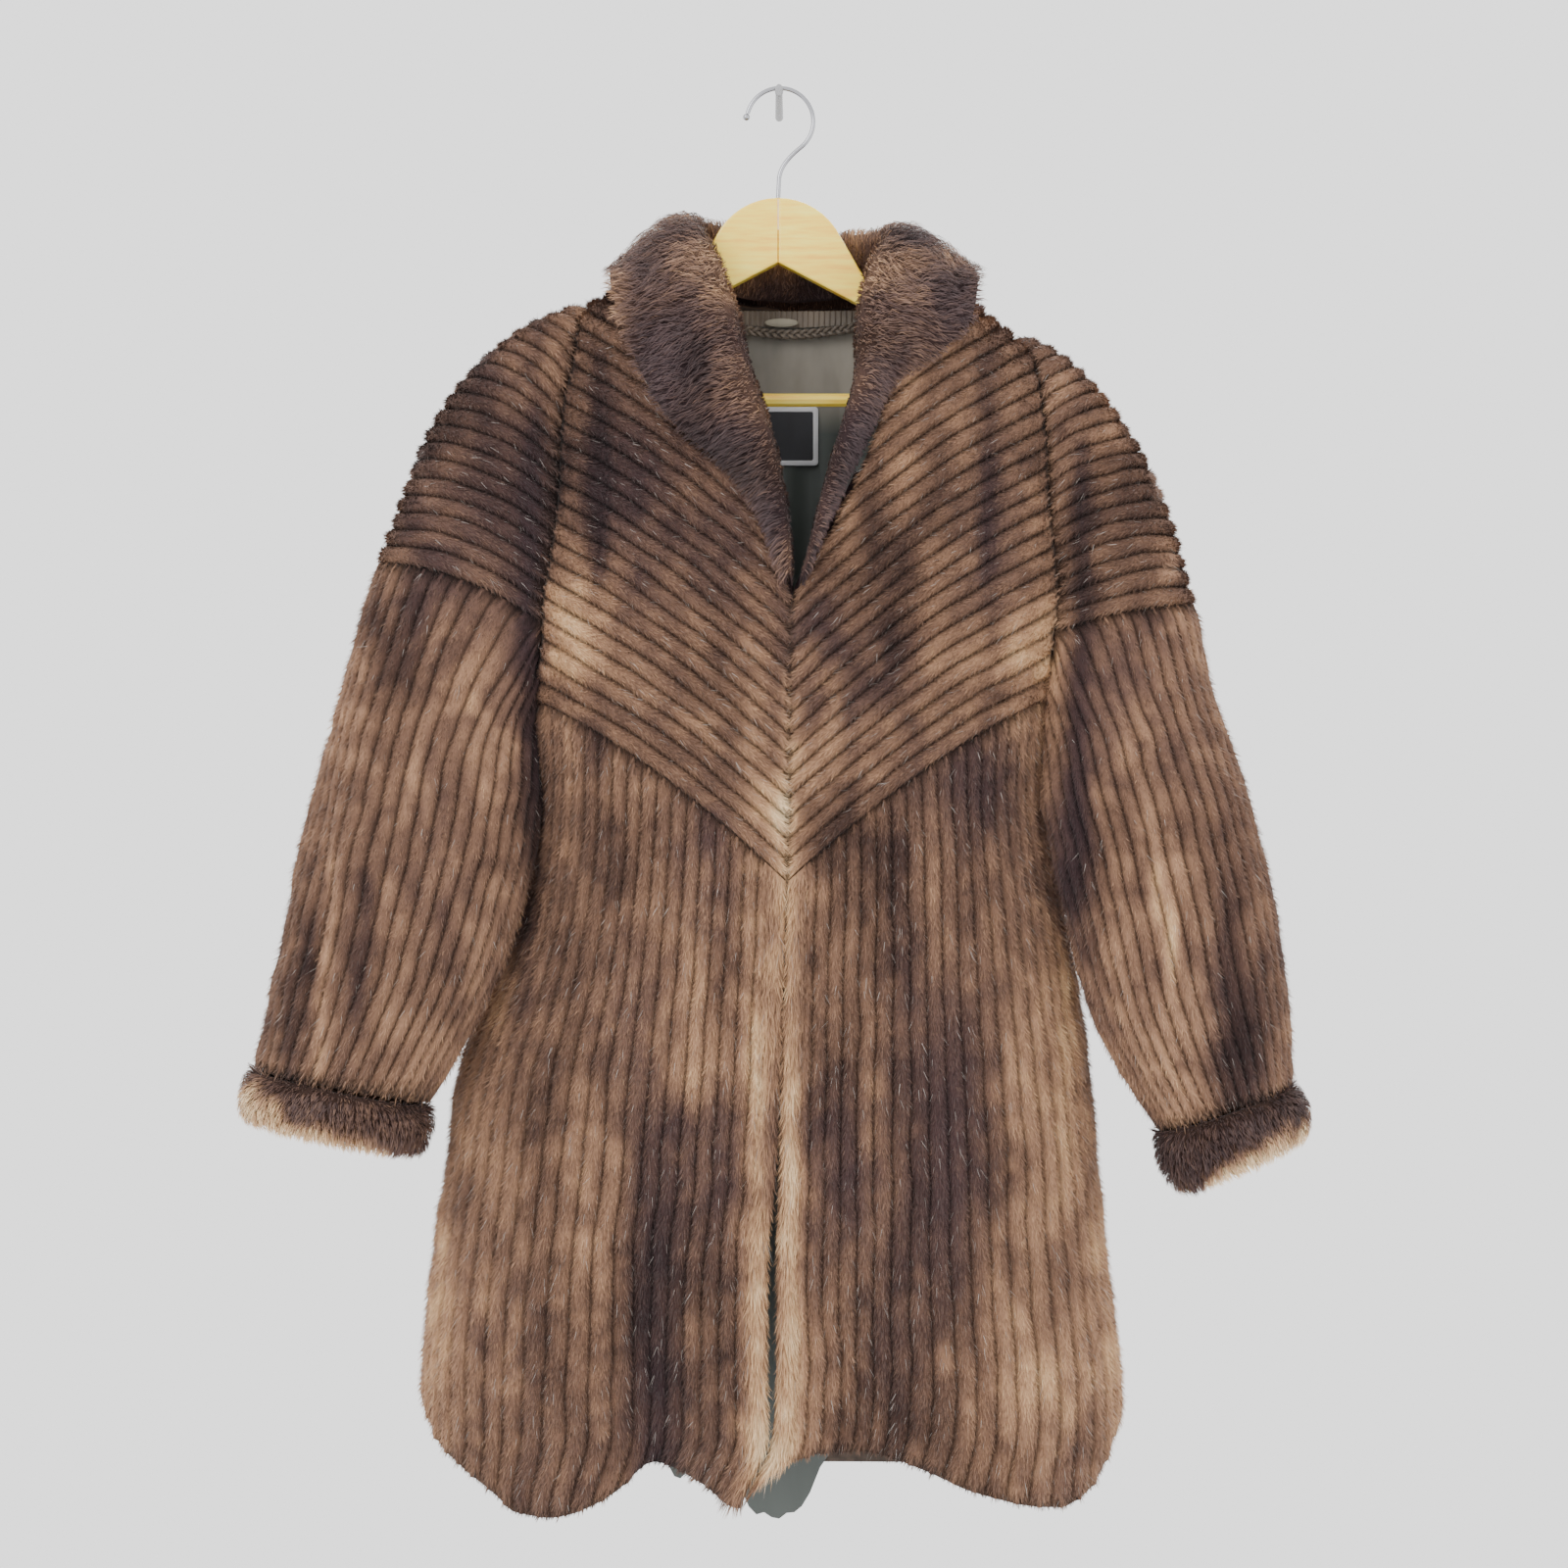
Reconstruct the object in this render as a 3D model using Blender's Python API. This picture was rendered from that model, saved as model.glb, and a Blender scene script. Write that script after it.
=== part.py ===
"""Corded mink fur coat, hung on a wooden hanger from a small wall peg.

Metres, +Z up, +X to the viewer's right, +Y into the wall. The origin is where the wire hook rests on the
peg. The tables below are in millimetres and are scaled once, in table().

Every fur panel is a closed wall. Its skin lies on a surface worked out from the coat's sections. The pile
stands out from the skin along the surface's normal and is raised into one rounded cord for every strip of
fur, so the outer side is ribbed and the inner side is plain. Neighbouring panels stop SEAM short of the
line they share.
"""

import math

import bmesh
import bpy
import numpy as np

MM = 0.001
SEAM = 0.0010            # gap between two panels at a seam
YOKE_SAG = 0.0008        # what the gap under the yoke grows by at the side
SKIN = 0.0015            # leather below the skin surface
CORD_WIDTH = 0.014       # about, for the gap along a cord
PILE_VALLEY = 0.0045     # fur height in the groove between two cords
PILE_PEAK = 0.0085       # fur height on top of a cord
LINING = 0.0012          # thickness of the satin
LINING_GAP = 0.004       # from the leather to the satin
AXIS_Y = 0.008           # depth of the plane through the side seams and the shoulder ridge
FULLNESS = 0.35          # how much fuller than an ellipse a section is
GIRTH_RADIUS = 0.16      # about, at the armhole, for lengths round the body
FRONT_DEPTH = 0.11       # radius of the front's and of the back's sections at the side seam
BACK_DEPTH = 0.07
SEAM_BLEND = 0.022       # from the armhole, where the pile turns to the seam's own direction

ARMHOLE_SHARE = 0.19     # part of the sleeve's upper edge, front and back, that lies along the armhole

YOKE_CORDS = 24
BACK_YOKE_CORDS = 28
YOKE_PITCH = 0.0151      # height of one chevron cord on the centre front
YOKE_TIP = -0.5867       # lowest point of the chevron yoke
CHEVRON_RISE = 0.95      # slope of a chevron cord at the centre front
CHEVRON_BEND = 1.21      # how fast it flattens outward, per metre
SKIRT_CORDS = 21         # upright cords on each front
BACK_SKIRT_CORDS = 44
CAP_CORDS = 18
SLEEVE_CORDS = 36

LINING_TOP = -0.1565     # upper edge of the lining at the back neck
NECK_LEFT = -0.044       # ends of the trims along the back neck, and their middle
NECK_RIGHT = 0.064
NECK_MIDDLE = 0.01
NECK_BOW = 0.0035        # how far the neck trims come forward at their ends
PLEATS = 26
STRIP_TOP = -0.1585
STRIP_HEIGHT = 0.008
PLEAT_DEPTH = 0.0011
BRAID_STATIONS = 37
TAB_HALF_WIDTH = 0.0128
TAB_HALF_HEIGHT = 0.0033
LABEL_HALF_WIDTH = 0.0212
LABEL_HALF_HEIGHT = 0.0224
LABEL_CORNER = 0.003
LABEL_CENTRE = (0.0085, -0.252)

WALL_Y = 0.077           # the wall that the peg is driven into
WIRE_RADIUS = 0.00165
HOOK_RADIUS = 0.0248
BALL_RADIUS = 0.0026     # the ball on the hook's tip
WOOD_THICK = 0.012
WOOD_EDGE = 0.0016       # rounding of its edges
BAR_RADIUS = 0.005
BAR_Z = -0.2307

# The coat's sections: height, x of the left and right sides, depth of front and back from AXIS_Y.
SECTION_COLUMNS = ("z", "left", "right", "front", "back")
SECTIONS = (
    (-134, -54, 68, 20, 20),
    (-146, -90, 98, 33, 32),
    (-154, -112, 118, 42, 37),
    (-163, -134, 137, 50, 41),
    (-171, -146, 148, 55, 43),
    (-180, -156, 160, 58, 44),
    (-190, -163, 174, 61, 45),
    (-201, -168, 190, 62, 46),
    (-214, -174, 206, 64, 47),
    (-254, -180, 219, 69, 48),
    (-312, -183, 222, 74, 49),
    (-356, -190, 227, 77, 50),
    (-385, -195, 229, 78, 50),
    (-412, -190, 218, 79, 50),
    (-428, -186, 209, 80, 50),
    (-449, -178, 198, 80, 50),
    (-516, -173, 190, 80, 50),
    (-590, -181, 199, 80, 50),
    (-662, -202, 210, 79, 50),
    (-735, -230, 222, 78, 50),
    (-808, -242, 231, 78, 50),
    (-881, -253, 238, 78, 50),
    (-954, -259, 248, 79, 50),
    (-1060, -256, 247, 80, 50),
)

# Angle of the armhole seam round the section, left and right: 90 is the side.
ARMHOLE_COLUMNS = ("z", "left", "right")
ARMHOLE = (
    (-165, 90, 90),
    (-167, 82, 90),
    (-173, 74, 90),
    (-180, 70, 90),
    (-187, 66, 90),
    (-189, 66, 83),
    (-193, 65, 79),
    (-202, 63, 73),
    (-214, 61, 66),
    (-230, 62, 63),
    (-250, 62, 62),
    (-312, 62, 62),
    (-390, 62, 62),
    (-412, 66, 66),
    (-428, 71, 71),
    (-440, 77, 77),
    (-447, 84, 84),
    (-449, 90, 90),
)

# The two front edges, from the neckline to the hem, and the centre line that the cords are measured from.
EDGE_COLUMNS = ("z", "left", "right", "centre")
EDGES = (
    (-134, -74, 91, 8),
    (-146, -74, 91, 8),
    (-173, -63, 90, 8),
    (-212, -46, 84, 8),
    (-263, -30, 70, 8),
    (-299, -17, 55, 8),
    (-334, -4, 37, 8),
    (-366, 5, 19, 8.5),
    (-390, 8.1, 9.0, 8.6),
    (-587, 5.3, 6.1, 5.7),
    (-735, 0.2, 1.4, 0.8),
    (-808, -3.5, 0, -1.5),
    (-850, -8, -1.5, -4.5),
    (-950, -9, -2.5, -5.5),
    (-990, -8, -5.5, -7),
    (-1035, -26.5, -24.5, -25.5),
    (-1060, -30, -28, -29),
)

# Height of the front hem along x, and of the back hem.
HEM_COLUMNS = ("x", "z")
FRONT_HEM = (
    (-262, -966),
    (-252, -994),
    (-232, -1013),
    (-207, -1032),
    (-193, -1044),
    (-165, -1046),
    (-120, -1029),
    (-92, -1009),
    (-55, -1020),
    (-26, -1037),
    (-22, -1029),
    (24, -1000),
    (60, -1001),
    (105, -1012),
    (145, -1030),
    (208, -1042),
    (234, -1022),
    (250, -985),
)
BACK_HEM = ((-262, -966), (-240, -1004), (-180, -1030), (0, -1034), (180, -1034), (230, -1014), (248, -985))

# Soft troughs in the front: x at the hem, half width, depth, height where each fades out.
TROUGH_COLUMNS = ("x", "width", "depth", "top")
TROUGHS = (
    (-92, 34, 26, -760),
    (66, 42, 24, -800),
    (158, 26, 9, -700),
    (-196, 24, 10, -780),
)

# The outermost line of each sleeve cap, from the shoulder down: x and z, with the depth of that line.
CAP_COLUMNS = ("x", "z", "y")
CAP_LEFT = (
    (-149, -168, 8),
    (-180, -181, 6),
    (-212, -203, 3),
    (-235, -228, 1),
    (-250, -251, -1),
    (-267, -290, -3),
    (-282, -331, -5),
    (-292, -355, -6),
)
CAP_RIGHT = (
    (182, -189, 8),
    (201, -201, 7),
    (221, -218, 4),
    (242, -243, 1),
    (262, -274, -2),
    (279, -310, -4),
    (291, -348, -6),
    (301, -385, -7),
)
CAP_SEAM_LEFT = (-167, -399)     # heights on the armhole where the cap starts and ends
CAP_SEAM_RIGHT = (-189, -405)
CAP_BULGE = 0.8
CAP_LENGTH = 0.23        # about, over the shoulder

# Lower sleeves, from the cap to the cuff: outer and inner side, centre depth and half depth.
SLEEVE_COLUMNS = ("outer_x", "outer_z", "inner_x", "inner_z", "y", "depth")
SLEEVE_LEFT = (
    (-292, -355, -187, -440, 8, 42),
    (-313, -431, -184, -488, -4, 41),
    (-329, -492, -183, -520, -14, 42),
    (-342, -547, -186, -551, -24, 42),
    (-358, -640, -207, -632, -38, 40),
    (-370, -698, -233, -691, -41, 34),
    (-377, -726, -264, -750, -39, 28),
)
SLEEVE_RIGHT = (
    (301, -385, 212, -440, 8, 42),
    (316, -453, 201, -483, -4, 41),
    (328, -492, 201, -512, -14, 42),
    (338, -529, 205, -537, -24, 42),
    (356, -611, 221, -613, -38, 40),
    (366, -690, 248, -703, -41, 34),
    (368, -738, 284, -768, -39, 28),
)
SLEEVE_LENGTH = 0.4      # about, from the cap to the cuff
CUFF_GAP = 0.0022        # the sleeve's flared end stops this far above the cuff
UNDERARM_STEP = 0.013    # how far the sleeve's edge stands outside the armhole at its lowest point
CUFF_LENGTHS = {"left": (0.035, 0.035), "right": (0.036, 0.045)}    # at its outer and inner side
CUFF_SIDES = 24

# Collar, from its end in the V to the centre back: the middle between its two sides, then half width,
# depth and height of the inner seam, of the crest that it rolls over, and of the outer edge, then thickness
# and, in thousandths, how far the crest is rounded.
COLLAR_COLUMNS = (
    "middle", "in_x", "in_y", "in_z", "top_x", "top_y", "top_z", "out_x", "out_y", "out_z", "thick", "roll",
)
COLLAR = (
    (12, 2.5, -80, -374, 5, -88, -366, 10, -85, -374, 2, 300),
    (16, 10, -71, -334, 12, -91, -330, 29, -84, -340, 5, 300),
    (17, 24, -62, -285, 25, -91, -281, 63, -80, -292, 9, 200),
    (16, 42, -53, -237, 43, -87, -228, 103, -74, -241, 10, 150),
    (13, 62, -42, -190, 51, -75, -182, 124, -64, -190, 11, 150),
    (11, 78, -26, -153, 60, -56, -144, 134, -42, -149, 10, 240),
    (10, 84, -8, -134, 75, -24, -108, 131, -6, -134, 9, 330),
    (10, 79, 18, -137, 74, 14, -100, 111, 41, -136, 9, 400),
    (10, 40, 33, -149, 42, 40, -102, 62, 63, -152, 9, 600),
    (10, 0, 39, -152, 0, 45, -103, 0, 68, -158, 9, 800),
)
COLLAR_TILT = 0.05       # how much lower the crest is on the right than on the left, by its width

# Hanger arm outline: the hump, the arm and the knuckle that takes the trouser bar.
HUMP_RADIUS = 0.0518
HUMP_CENTRE_Z = -0.1325
JOINT_X = -0.0007
ARM_COLUMNS = ("x", "z")
ARM_TOP = ((61, -135), (73, -152), (120, -177), (176, -206))
ARM_END = ((186, -213), (190, -222), (188, -233), (180, -239), (170, -238), (164, -230), (160, -215))
ARM_UNDER = ((118, -191), (69, -165), (0, -129))

COLOURS = {
    "fur": (0.17, 0.10, 0.065, 1),
    "fur_dark": (0.065, 0.038, 0.032, 1),
    "satin": (0.12, 0.11, 0.095, 1),
    "label": (0.55, 0.55, 0.56, 1),
    "wood": (0.86, 0.67, 0.33, 1),
    "chrome": (0.62, 0.62, 0.63, 1),
    "peg": (0.42, 0.42, 0.43, 1),
}
ROUGHNESS = {"chrome": 0.25, "satin": 0.4, "wood": 0.35, "label": 0.4}
FUR_ROUGHNESS = 0.85


def table(rows, columns):
    """Columns of a table in millimetres, as arrays in metres."""
    values = np.array(rows, float) * MM
    return {name: values[:, i] for i, name in enumerate(columns)}


def along(data, at, key, value):
    """A table's value column at the given places of its key column, joined smoothly between the rows."""
    order = np.argsort(data[key])
    x, y = data[key][order], data[value][order]
    slope = np.gradient(y, x)
    at = np.clip(at, x[0], x[-1])
    i = np.clip(np.searchsorted(x, at) - 1, 0, len(x) - 2)
    span = x[i + 1] - x[i]
    t = (at - x[i]) / span
    rise = y[i + 1] - y[i]
    limit = 2.2 * rise / span
    m0, m1 = (
        np.where(m * limit > 0, np.minimum(np.abs(m), np.abs(limit)) * np.sign(limit), 0)
        for m in (slope[i], slope[i + 1])
    )
    return (
        y[i] + rise * t * t * (3 - 2 * t)
        + span * (m0 * t * (1 - t) ** 2 - m1 * t * t * (1 - t))
    )


SECTION = table(SECTIONS, SECTION_COLUMNS)
SEAMS = table(ARMHOLE, ARMHOLE_COLUMNS)
SEAMS.update({side: np.radians(SEAMS[side] / MM) for side in ("left", "right")})
EDGE = table(EDGES, EDGE_COLUMNS)
HEM = {"front": table(FRONT_HEM, HEM_COLUMNS), "back": table(BACK_HEM, HEM_COLUMNS)}
TROUGH = table(TROUGHS, TROUGH_COLUMNS)
SIDES = {"left": -1.0, "right": 1.0}


def smooth(t):
    """0 to 1 with level ends."""
    t = np.clip(t, 0, 1)
    return t * t * (3 - 2 * t)


def unit(vectors):
    """Vectors of length 1."""
    return vectors / np.maximum(np.linalg.norm(vectors, axis=-1, keepdims=True), 1e-12)


# The body of the coat ------------------------------------------------------------------------------------


def half_width(z, side):
    """Distance from the centre line to the coat's side at height z."""
    return np.abs(along(SECTION, z, "z", side) - along(EDGE, z, "z", "centre"))


def troughs(x, z):
    """How far back the front is pressed by its soft troughs, growing from nothing down to the hem."""
    total = np.zeros(np.broadcast(x, z).shape)
    for at, width, depth, top in zip(TROUGH["x"], TROUGH["width"], TROUGH["depth"], TROUGH["top"]):
        grown = smooth((top - z) / (top + 1.03))
        total = total + depth * grown * np.exp(-(((x - at) / width) ** 2))
    return total


def body(psi, z, side, face):
    """Skin of the coat: at angle psi from the centre line (0) to the side (90 degrees), at height z.

    x runs as the sine of psi times the half width and y as its cosine times the depth, made a little
    fuller than an ellipse.
    """
    psi, z = np.broadcast_arrays(psi, z)
    x = along(EDGE, z, "z", "centre") + SIDES[side] * half_width(z, side) * np.sin(psi)
    full = np.cos(psi) * (1 + FULLNESS * np.sin(psi) ** 2)
    if face == "front":
        y = AXIS_Y - along(SECTION, z, "z", "front") * full + troughs(x, z) * np.cos(psi)
    else:
        y = AXIS_Y + along(SECTION, z, "z", "back") * full
    return np.stack([x, y, z], -1)


def body_normal(psi, z, side, face):
    """Outward direction of body(), from small steps along and across it."""
    step = 0.002
    psi = np.clip(psi, step, math.pi / 2)
    by_psi = body(psi + step, z, side, face) - body(psi - step, z, side, face)
    by_z = body(psi, z + step, side, face) - body(psi, z - step, side, face)
    turn = SIDES[side] * (1 if face == "front" else -1)
    return unit(np.cross(by_psi, by_z)) * turn


def seam_angle(z, side):
    """Angle of the armhole seam at height z, or the side where there is no armhole."""
    outside = (z > SEAMS["z"].max()) | (z < SEAMS["z"].min())
    return np.where(outside, math.pi / 2, along(SEAMS, z, "z", side))


def seam_normal(z, side, face):
    """Direction shared by yoke and sleeve cap at the armhole: halfway between the body's and straight out."""
    own = body_normal(seam_angle(z, side), z, side, face)
    weight = smooth((SEAMS["z"].max() - z) / 0.03) * smooth((z - SEAMS["z"].min()) / 0.04)
    out = np.zeros_like(own)
    out[..., 1] = -1 if face == "front" else 1
    return unit(own + out * weight[..., None])


def body_press(psi, z):
    """Share of the pile that is left where the body's side is pressed by the sleeve."""
    low = SEAMS["z"].min()
    near_side = smooth((psi - math.radians(52)) / math.radians(22))
    at_height = smooth((-0.398 - z) / 0.02) * smooth((z - low + 0.16) / 0.09)
    deepest = smooth((z - low + 0.03) / 0.02)
    return 1 - near_side * at_height * (0.5 + 0.35 * deepest)


def chevron(distance):
    """Rise of a chevron cord at this distance from the centre line."""
    return CHEVRON_RISE * distance - CHEVRON_BEND * distance**2


def chevron_height(cord, psi, side):
    """Height at which chevron line number cord crosses the angle psi."""
    z = YOKE_TIP + cord * YOKE_PITCH + chevron(half_width(YOKE_TIP, side) * np.sin(psi))
    for _ in range(40):
        across = half_width(z, side) * np.sin(psi)
        z = z + 0.4 * (YOKE_TIP + cord * YOKE_PITCH + chevron(across) - z)
    return z


def neckline(x):
    """Height of the back neck at x: a shallow dip that tilts down to the right, like the shoulders."""
    away = (x - 0.0085) / 0.0825
    return -0.156 + 0.0065 * away**2 - 0.0035 * away


def yoke_line(cord, t, side, face):
    """Angles along one chevron line, at the shares t of its length inside the yoke."""
    psi = np.linspace(0, math.pi / 2, 721)
    points = body(psi, chevron_height(cord, psi, side), side, face)
    inside = psi <= seam_angle(points[:, 2], side)
    if face == "front":
        inside &= (points[:, 0] - along(EDGE, points[:, 2], "z", side)) * SIDES[side] >= 0
    else:
        inside &= points[:, 2] <= neckline(points[:, 0])
    first = np.argmax(inside)
    last = first + (np.argmin(inside[first:]) or len(psi) - first) - 1
    length = np.concatenate([[0], np.cumsum(np.linalg.norm(np.diff(points, axis=0), axis=1))])
    start = length[first] + (SEAM / 2 if face == "back" else 0)
    end = length[last] - SEAM
    return np.interp(start + (end - start) * t, length, psi)


def yoke_surface(side, face):
    """Skin points and pile directions of one yoke panel, by cord number and place along the cord."""

    def surface(cord, t):
        psi = np.array([yoke_line(c, row, side, face) for c, row in zip(cord[:, 0], t)])
        z = chevron_height(cord, psi, side)
        points = body(psi, z, side, face)
        normals = body_normal(psi, z, side, face)
        near = smooth(1 - (seam_angle(z, side) - psi) * GIRTH_RADIUS / SEAM_BLEND)[..., None]
        at_seam = seam_angle(z, side) < math.radians(89)
        blended = unit(normals * (1 - near) + seam_normal(z, side, face) * near)
        return points, np.where(at_seam[..., None], blended, normals), body_press(psi, z)

    return surface


def equal_girth(q, z, side, face):
    """Angle psi at the fraction q of the girth between centre line and side, so cords are equally wide."""
    depth = along(SECTION, z, "z", face) * (1 + FULLNESS)
    wide = half_width(z, side)
    k = (wide - depth) / (wide + depth)
    return math.pi / 2 * (q - k * np.sin(math.pi * q) / math.pi)


def edge_angle(z, side):
    """Angle of the front edge at height z."""
    away = (along(EDGE, z, "z", side) - along(EDGE, z, "z", "centre")) * SIDES[side]
    return np.arcsin(np.clip(away / half_width(z, side), -0.9, 0.9))


def skirt_column(q, t, side, face):
    """Angle and height down one skirt cord, from the chevron to the hem, by fixed steps of correction.

    The yoke's edge runs straight between its columns, so the gap below it grows where that edge bends.
    """
    z = np.full(q.shape, YOKE_TIP)
    for _ in range(12):
        psi = equal_girth(q, z, side, face)
        z = YOKE_TIP + chevron(half_width(z, side) * np.sin(psi)) - SEAM - YOKE_SAG * q * q
    top = z
    z = np.full(q.shape, -1.0)
    for _ in range(12):
        x = body(equal_girth(q, z, side, face), z, side, face)[..., 0]
        z = 0.5 * z + 0.5 * along(HEM[face], x, "x", "z")
    z = top + (z - top) * t
    return equal_girth(q, z, side, face), z


def front_skirt_surface(side):
    """Skin points and pile directions of one front skirt."""

    def surface(cord, t):
        q = cord / SKIRT_CORDS
        psi, z = skirt_column(q, t, side, "front")
        psi = psi + edge_angle(z, side) * (1 - q) - SEAM / 2 / FRONT_DEPTH * (q > 0.5)
        return body(psi, z, side, "front"), body_normal(psi, z, side, "front"), body_press(psi, z)

    return surface


def back_skirt_surface(cord, t):
    """Skin points and pile directions of the back skirt, from its left side seam to its right one."""
    q = cord / BACK_SKIRT_CORDS * 2 - 1
    halves = {}
    for side in SIDES:
        psi, z = skirt_column(np.abs(q), t, side, "back")
        psi = psi - SEAM / 2 / BACK_DEPTH * (np.abs(q) > 0.5)
        halves[side] = (body(psi, z, side, "back"), body_normal(psi, z, side, "back"), body_press(psi, z))
    points, normals, press = (
        np.where((q < 0).reshape(q.shape + (1,) * (left.ndim - 2)), left, right)
        for left, right in zip(halves["left"], halves["right"])
    )
    return points, normals, press


# Sleeves -------------------------------------------------------------------------------------------------

CAPS = {"left": table(CAP_LEFT, CAP_COLUMNS), "right": table(CAP_RIGHT, CAP_COLUMNS)}
CAP_SEAM = {"left": np.array(CAP_SEAM_LEFT) * MM, "right": np.array(CAP_SEAM_RIGHT) * MM}
SLEEVES = {"left": table(SLEEVE_LEFT, SLEEVE_COLUMNS), "right": table(SLEEVE_RIGHT, SLEEVE_COLUMNS)}


def by_length(rows, keys):
    """Fraction of the length along a table's points, one value a row."""
    points = np.stack([rows[k] for k in keys], -1)
    steps = np.linalg.norm(np.diff(points, axis=0), axis=1)
    return np.concatenate([[0], np.cumsum(steps)]) / steps.sum()


def cap_line(v, side):
    """Outermost point of the cap at fraction v of its length."""
    rows = dict(CAPS[side])
    rows["v"] = by_length(rows, ("x", "z"))
    return np.stack([along(rows, v, "v", k) for k in ("x", "y", "z")], -1)


def cap_point(phi, v, side):
    """Skin of the sleeve cap: phi runs from the front seam (0) over the arm (90 degrees) to the back seam.

    x grows with the sine of phi from the seam to the outermost line, y goes with its cosine, and the height
    keeps level at the outermost line and drops to the seam with the square of the way left.
    """
    phi, v = np.broadcast_arrays(phi, v)
    outer = cap_line(v, side)
    z = CAP_SEAM[side][0] + (CAP_SEAM[side][1] - CAP_SEAM[side][0]) * v
    front = body(seam_angle(z, side), z, side, "front")
    back = body(seam_angle(z, side), z, side, "back")
    seam = np.where((np.cos(phi) >= 0)[..., None], front, back)
    s = np.sin(phi)
    swell = np.abs(np.cos(phi)) * (1 + CAP_BULGE * s * s)
    return np.stack(
        [
            seam[..., 0] + (outer[..., 0] - seam[..., 0]) * s,
            outer[..., 1] + (seam[..., 1] - outer[..., 1]) * swell,
            outer[..., 2] + (z - outer[..., 2]) * (1 - s) ** 2,
        ],
        -1,
    )


def cap_normal(phi, v, side):
    """Outward direction of the cap, turned to the shared seam direction along the armhole."""
    step = 0.004
    before, after = np.clip(phi - step, 0, math.pi), np.clip(phi + step, 0, math.pi)
    by_phi = cap_point(after, v, side) - cap_point(before, v, side)
    by_v = cap_point(phi, np.clip(v + step, 0, 1), side) - cap_point(phi, np.clip(v - step, 0, 1), side)
    own = unit(np.cross(by_phi, by_v)) * -SIDES[side]
    z = CAP_SEAM[side][0] + (CAP_SEAM[side][1] - CAP_SEAM[side][0]) * v
    for face, from_seam in (("front", phi), ("back", math.pi - phi)):
        near = smooth(1 - from_seam / 0.45)[..., None]
        own = unit(own * (1 - near) + seam_normal(z, side, face) * near)
    return own


def cap_surface(side):
    """Skin points and pile directions of one sleeve cap."""

    def surface(cord, t):
        v = cord / CAP_CORDS * (1 - SEAM / 2 / CAP_LENGTH)
        outer = cap_line(v, side)
        z = CAP_SEAM[side][0] + (CAP_SEAM[side][1] - CAP_SEAM[side][0]) * v
        seam = body(seam_angle(z, side), z, side, "front")
        inset = 1.4 * SEAM / np.hypot(outer[..., 0] - seam[..., 0], 2 * (outer[..., 2] - z))
        phi = inset + (math.pi - 2 * inset) * t
        return cap_point(phi, v, side), cap_normal(phi, v, side), np.ones_like(phi)

    return surface


def sleeve_top(u, side):
    """Upper edge of the lower sleeve: the armhole from the underarm up to the cap, then the cap's edge."""
    u = np.mod(u, 1.0)
    far = np.where(u > 0.5, 1 - u, u)
    rise = np.clip(far / ARMHOLE_SHARE, 0, 1)
    low = SEAMS["z"].min() + 0.001
    z = low + (CAP_SEAM[side][1] - low) * rise**1.4
    step = UNDERARM_STEP * (1 - smooth(rise)) * SIDES[side]
    seam_front = body(seam_angle(z, side), z, side, "front")
    seam_back = body(seam_angle(z, side), z, side, "back")
    seam = np.where((u > 0.5)[..., None], seam_back, seam_front)
    seam[..., 0] += step
    phi = (u - ARMHOLE_SHARE) / (1 - 2 * ARMHOLE_SHARE) * math.pi
    edge = cap_point(np.clip(phi, 0, math.pi), np.ones_like(u), side)
    return np.where((far < ARMHOLE_SHARE)[..., None], seam, edge)


def sleeve_ring(u, v, side):
    """Elliptical ring of the lower sleeve at fraction v of its length; u goes inner, front, outer, back."""
    rows = dict(SLEEVES[side])
    rows["v"] = by_length(rows, ("outer_x", "outer_z"))
    at = {k: along(rows, v, "v", k) for k in SLEEVE_COLUMNS}
    angle = 2 * math.pi * u
    across = np.cos(angle)
    return np.stack(
        [
            (at["outer_x"] + at["inner_x"]) / 2 + (at["inner_x"] - at["outer_x"]) / 2 * across,
            at["y"] - at["depth"] * np.sin(angle) * (1 + 0.22 * across**2),
            (at["outer_z"] + at["inner_z"]) / 2 + (at["inner_z"] - at["outer_z"]) / 2 * across,
        ],
        -1,
    )


def sleeve_point(u, v, side):
    """Skin of the lower sleeve: the rings, drawn to the upper edge over the first part of the length."""
    u, v = np.broadcast_arrays(u, v)
    pull = (np.clip(1 - v / 0.34, 0, 1) ** 2)[..., None]
    shift = sleeve_top(u, side) - sleeve_ring(u, np.zeros_like(v), side)
    return sleeve_ring(u, v, side) + shift * pull


def sleeve_normal(u, v, side):
    """Outward direction of the lower sleeve, turned to the cap's at the seam between them."""
    step = 0.004
    by_u = sleeve_point(u + step, v, side) - sleeve_point(u - step, v, side)
    by_v = sleeve_point(u, np.clip(v + step, 0, 1), side) - sleeve_point(u, np.clip(v - step, 0, 1), side)
    own = unit(np.cross(by_u, by_v)) * -SIDES[side]
    far = np.minimum(np.mod(u, 1), 1 - np.mod(u, 1))
    phi = np.clip((np.mod(u, 1) - ARMHOLE_SHARE) / (1 - 2 * ARMHOLE_SHARE), 0, 1) * math.pi
    shared = cap_normal(phi, np.ones_like(phi), side)
    near = (smooth(1 - v / 0.08) * smooth((far - ARMHOLE_SHARE * 0.3) / (ARMHOLE_SHARE * 0.7)))[..., None]
    return unit(own * (1 - near) + shared * near)


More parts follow.
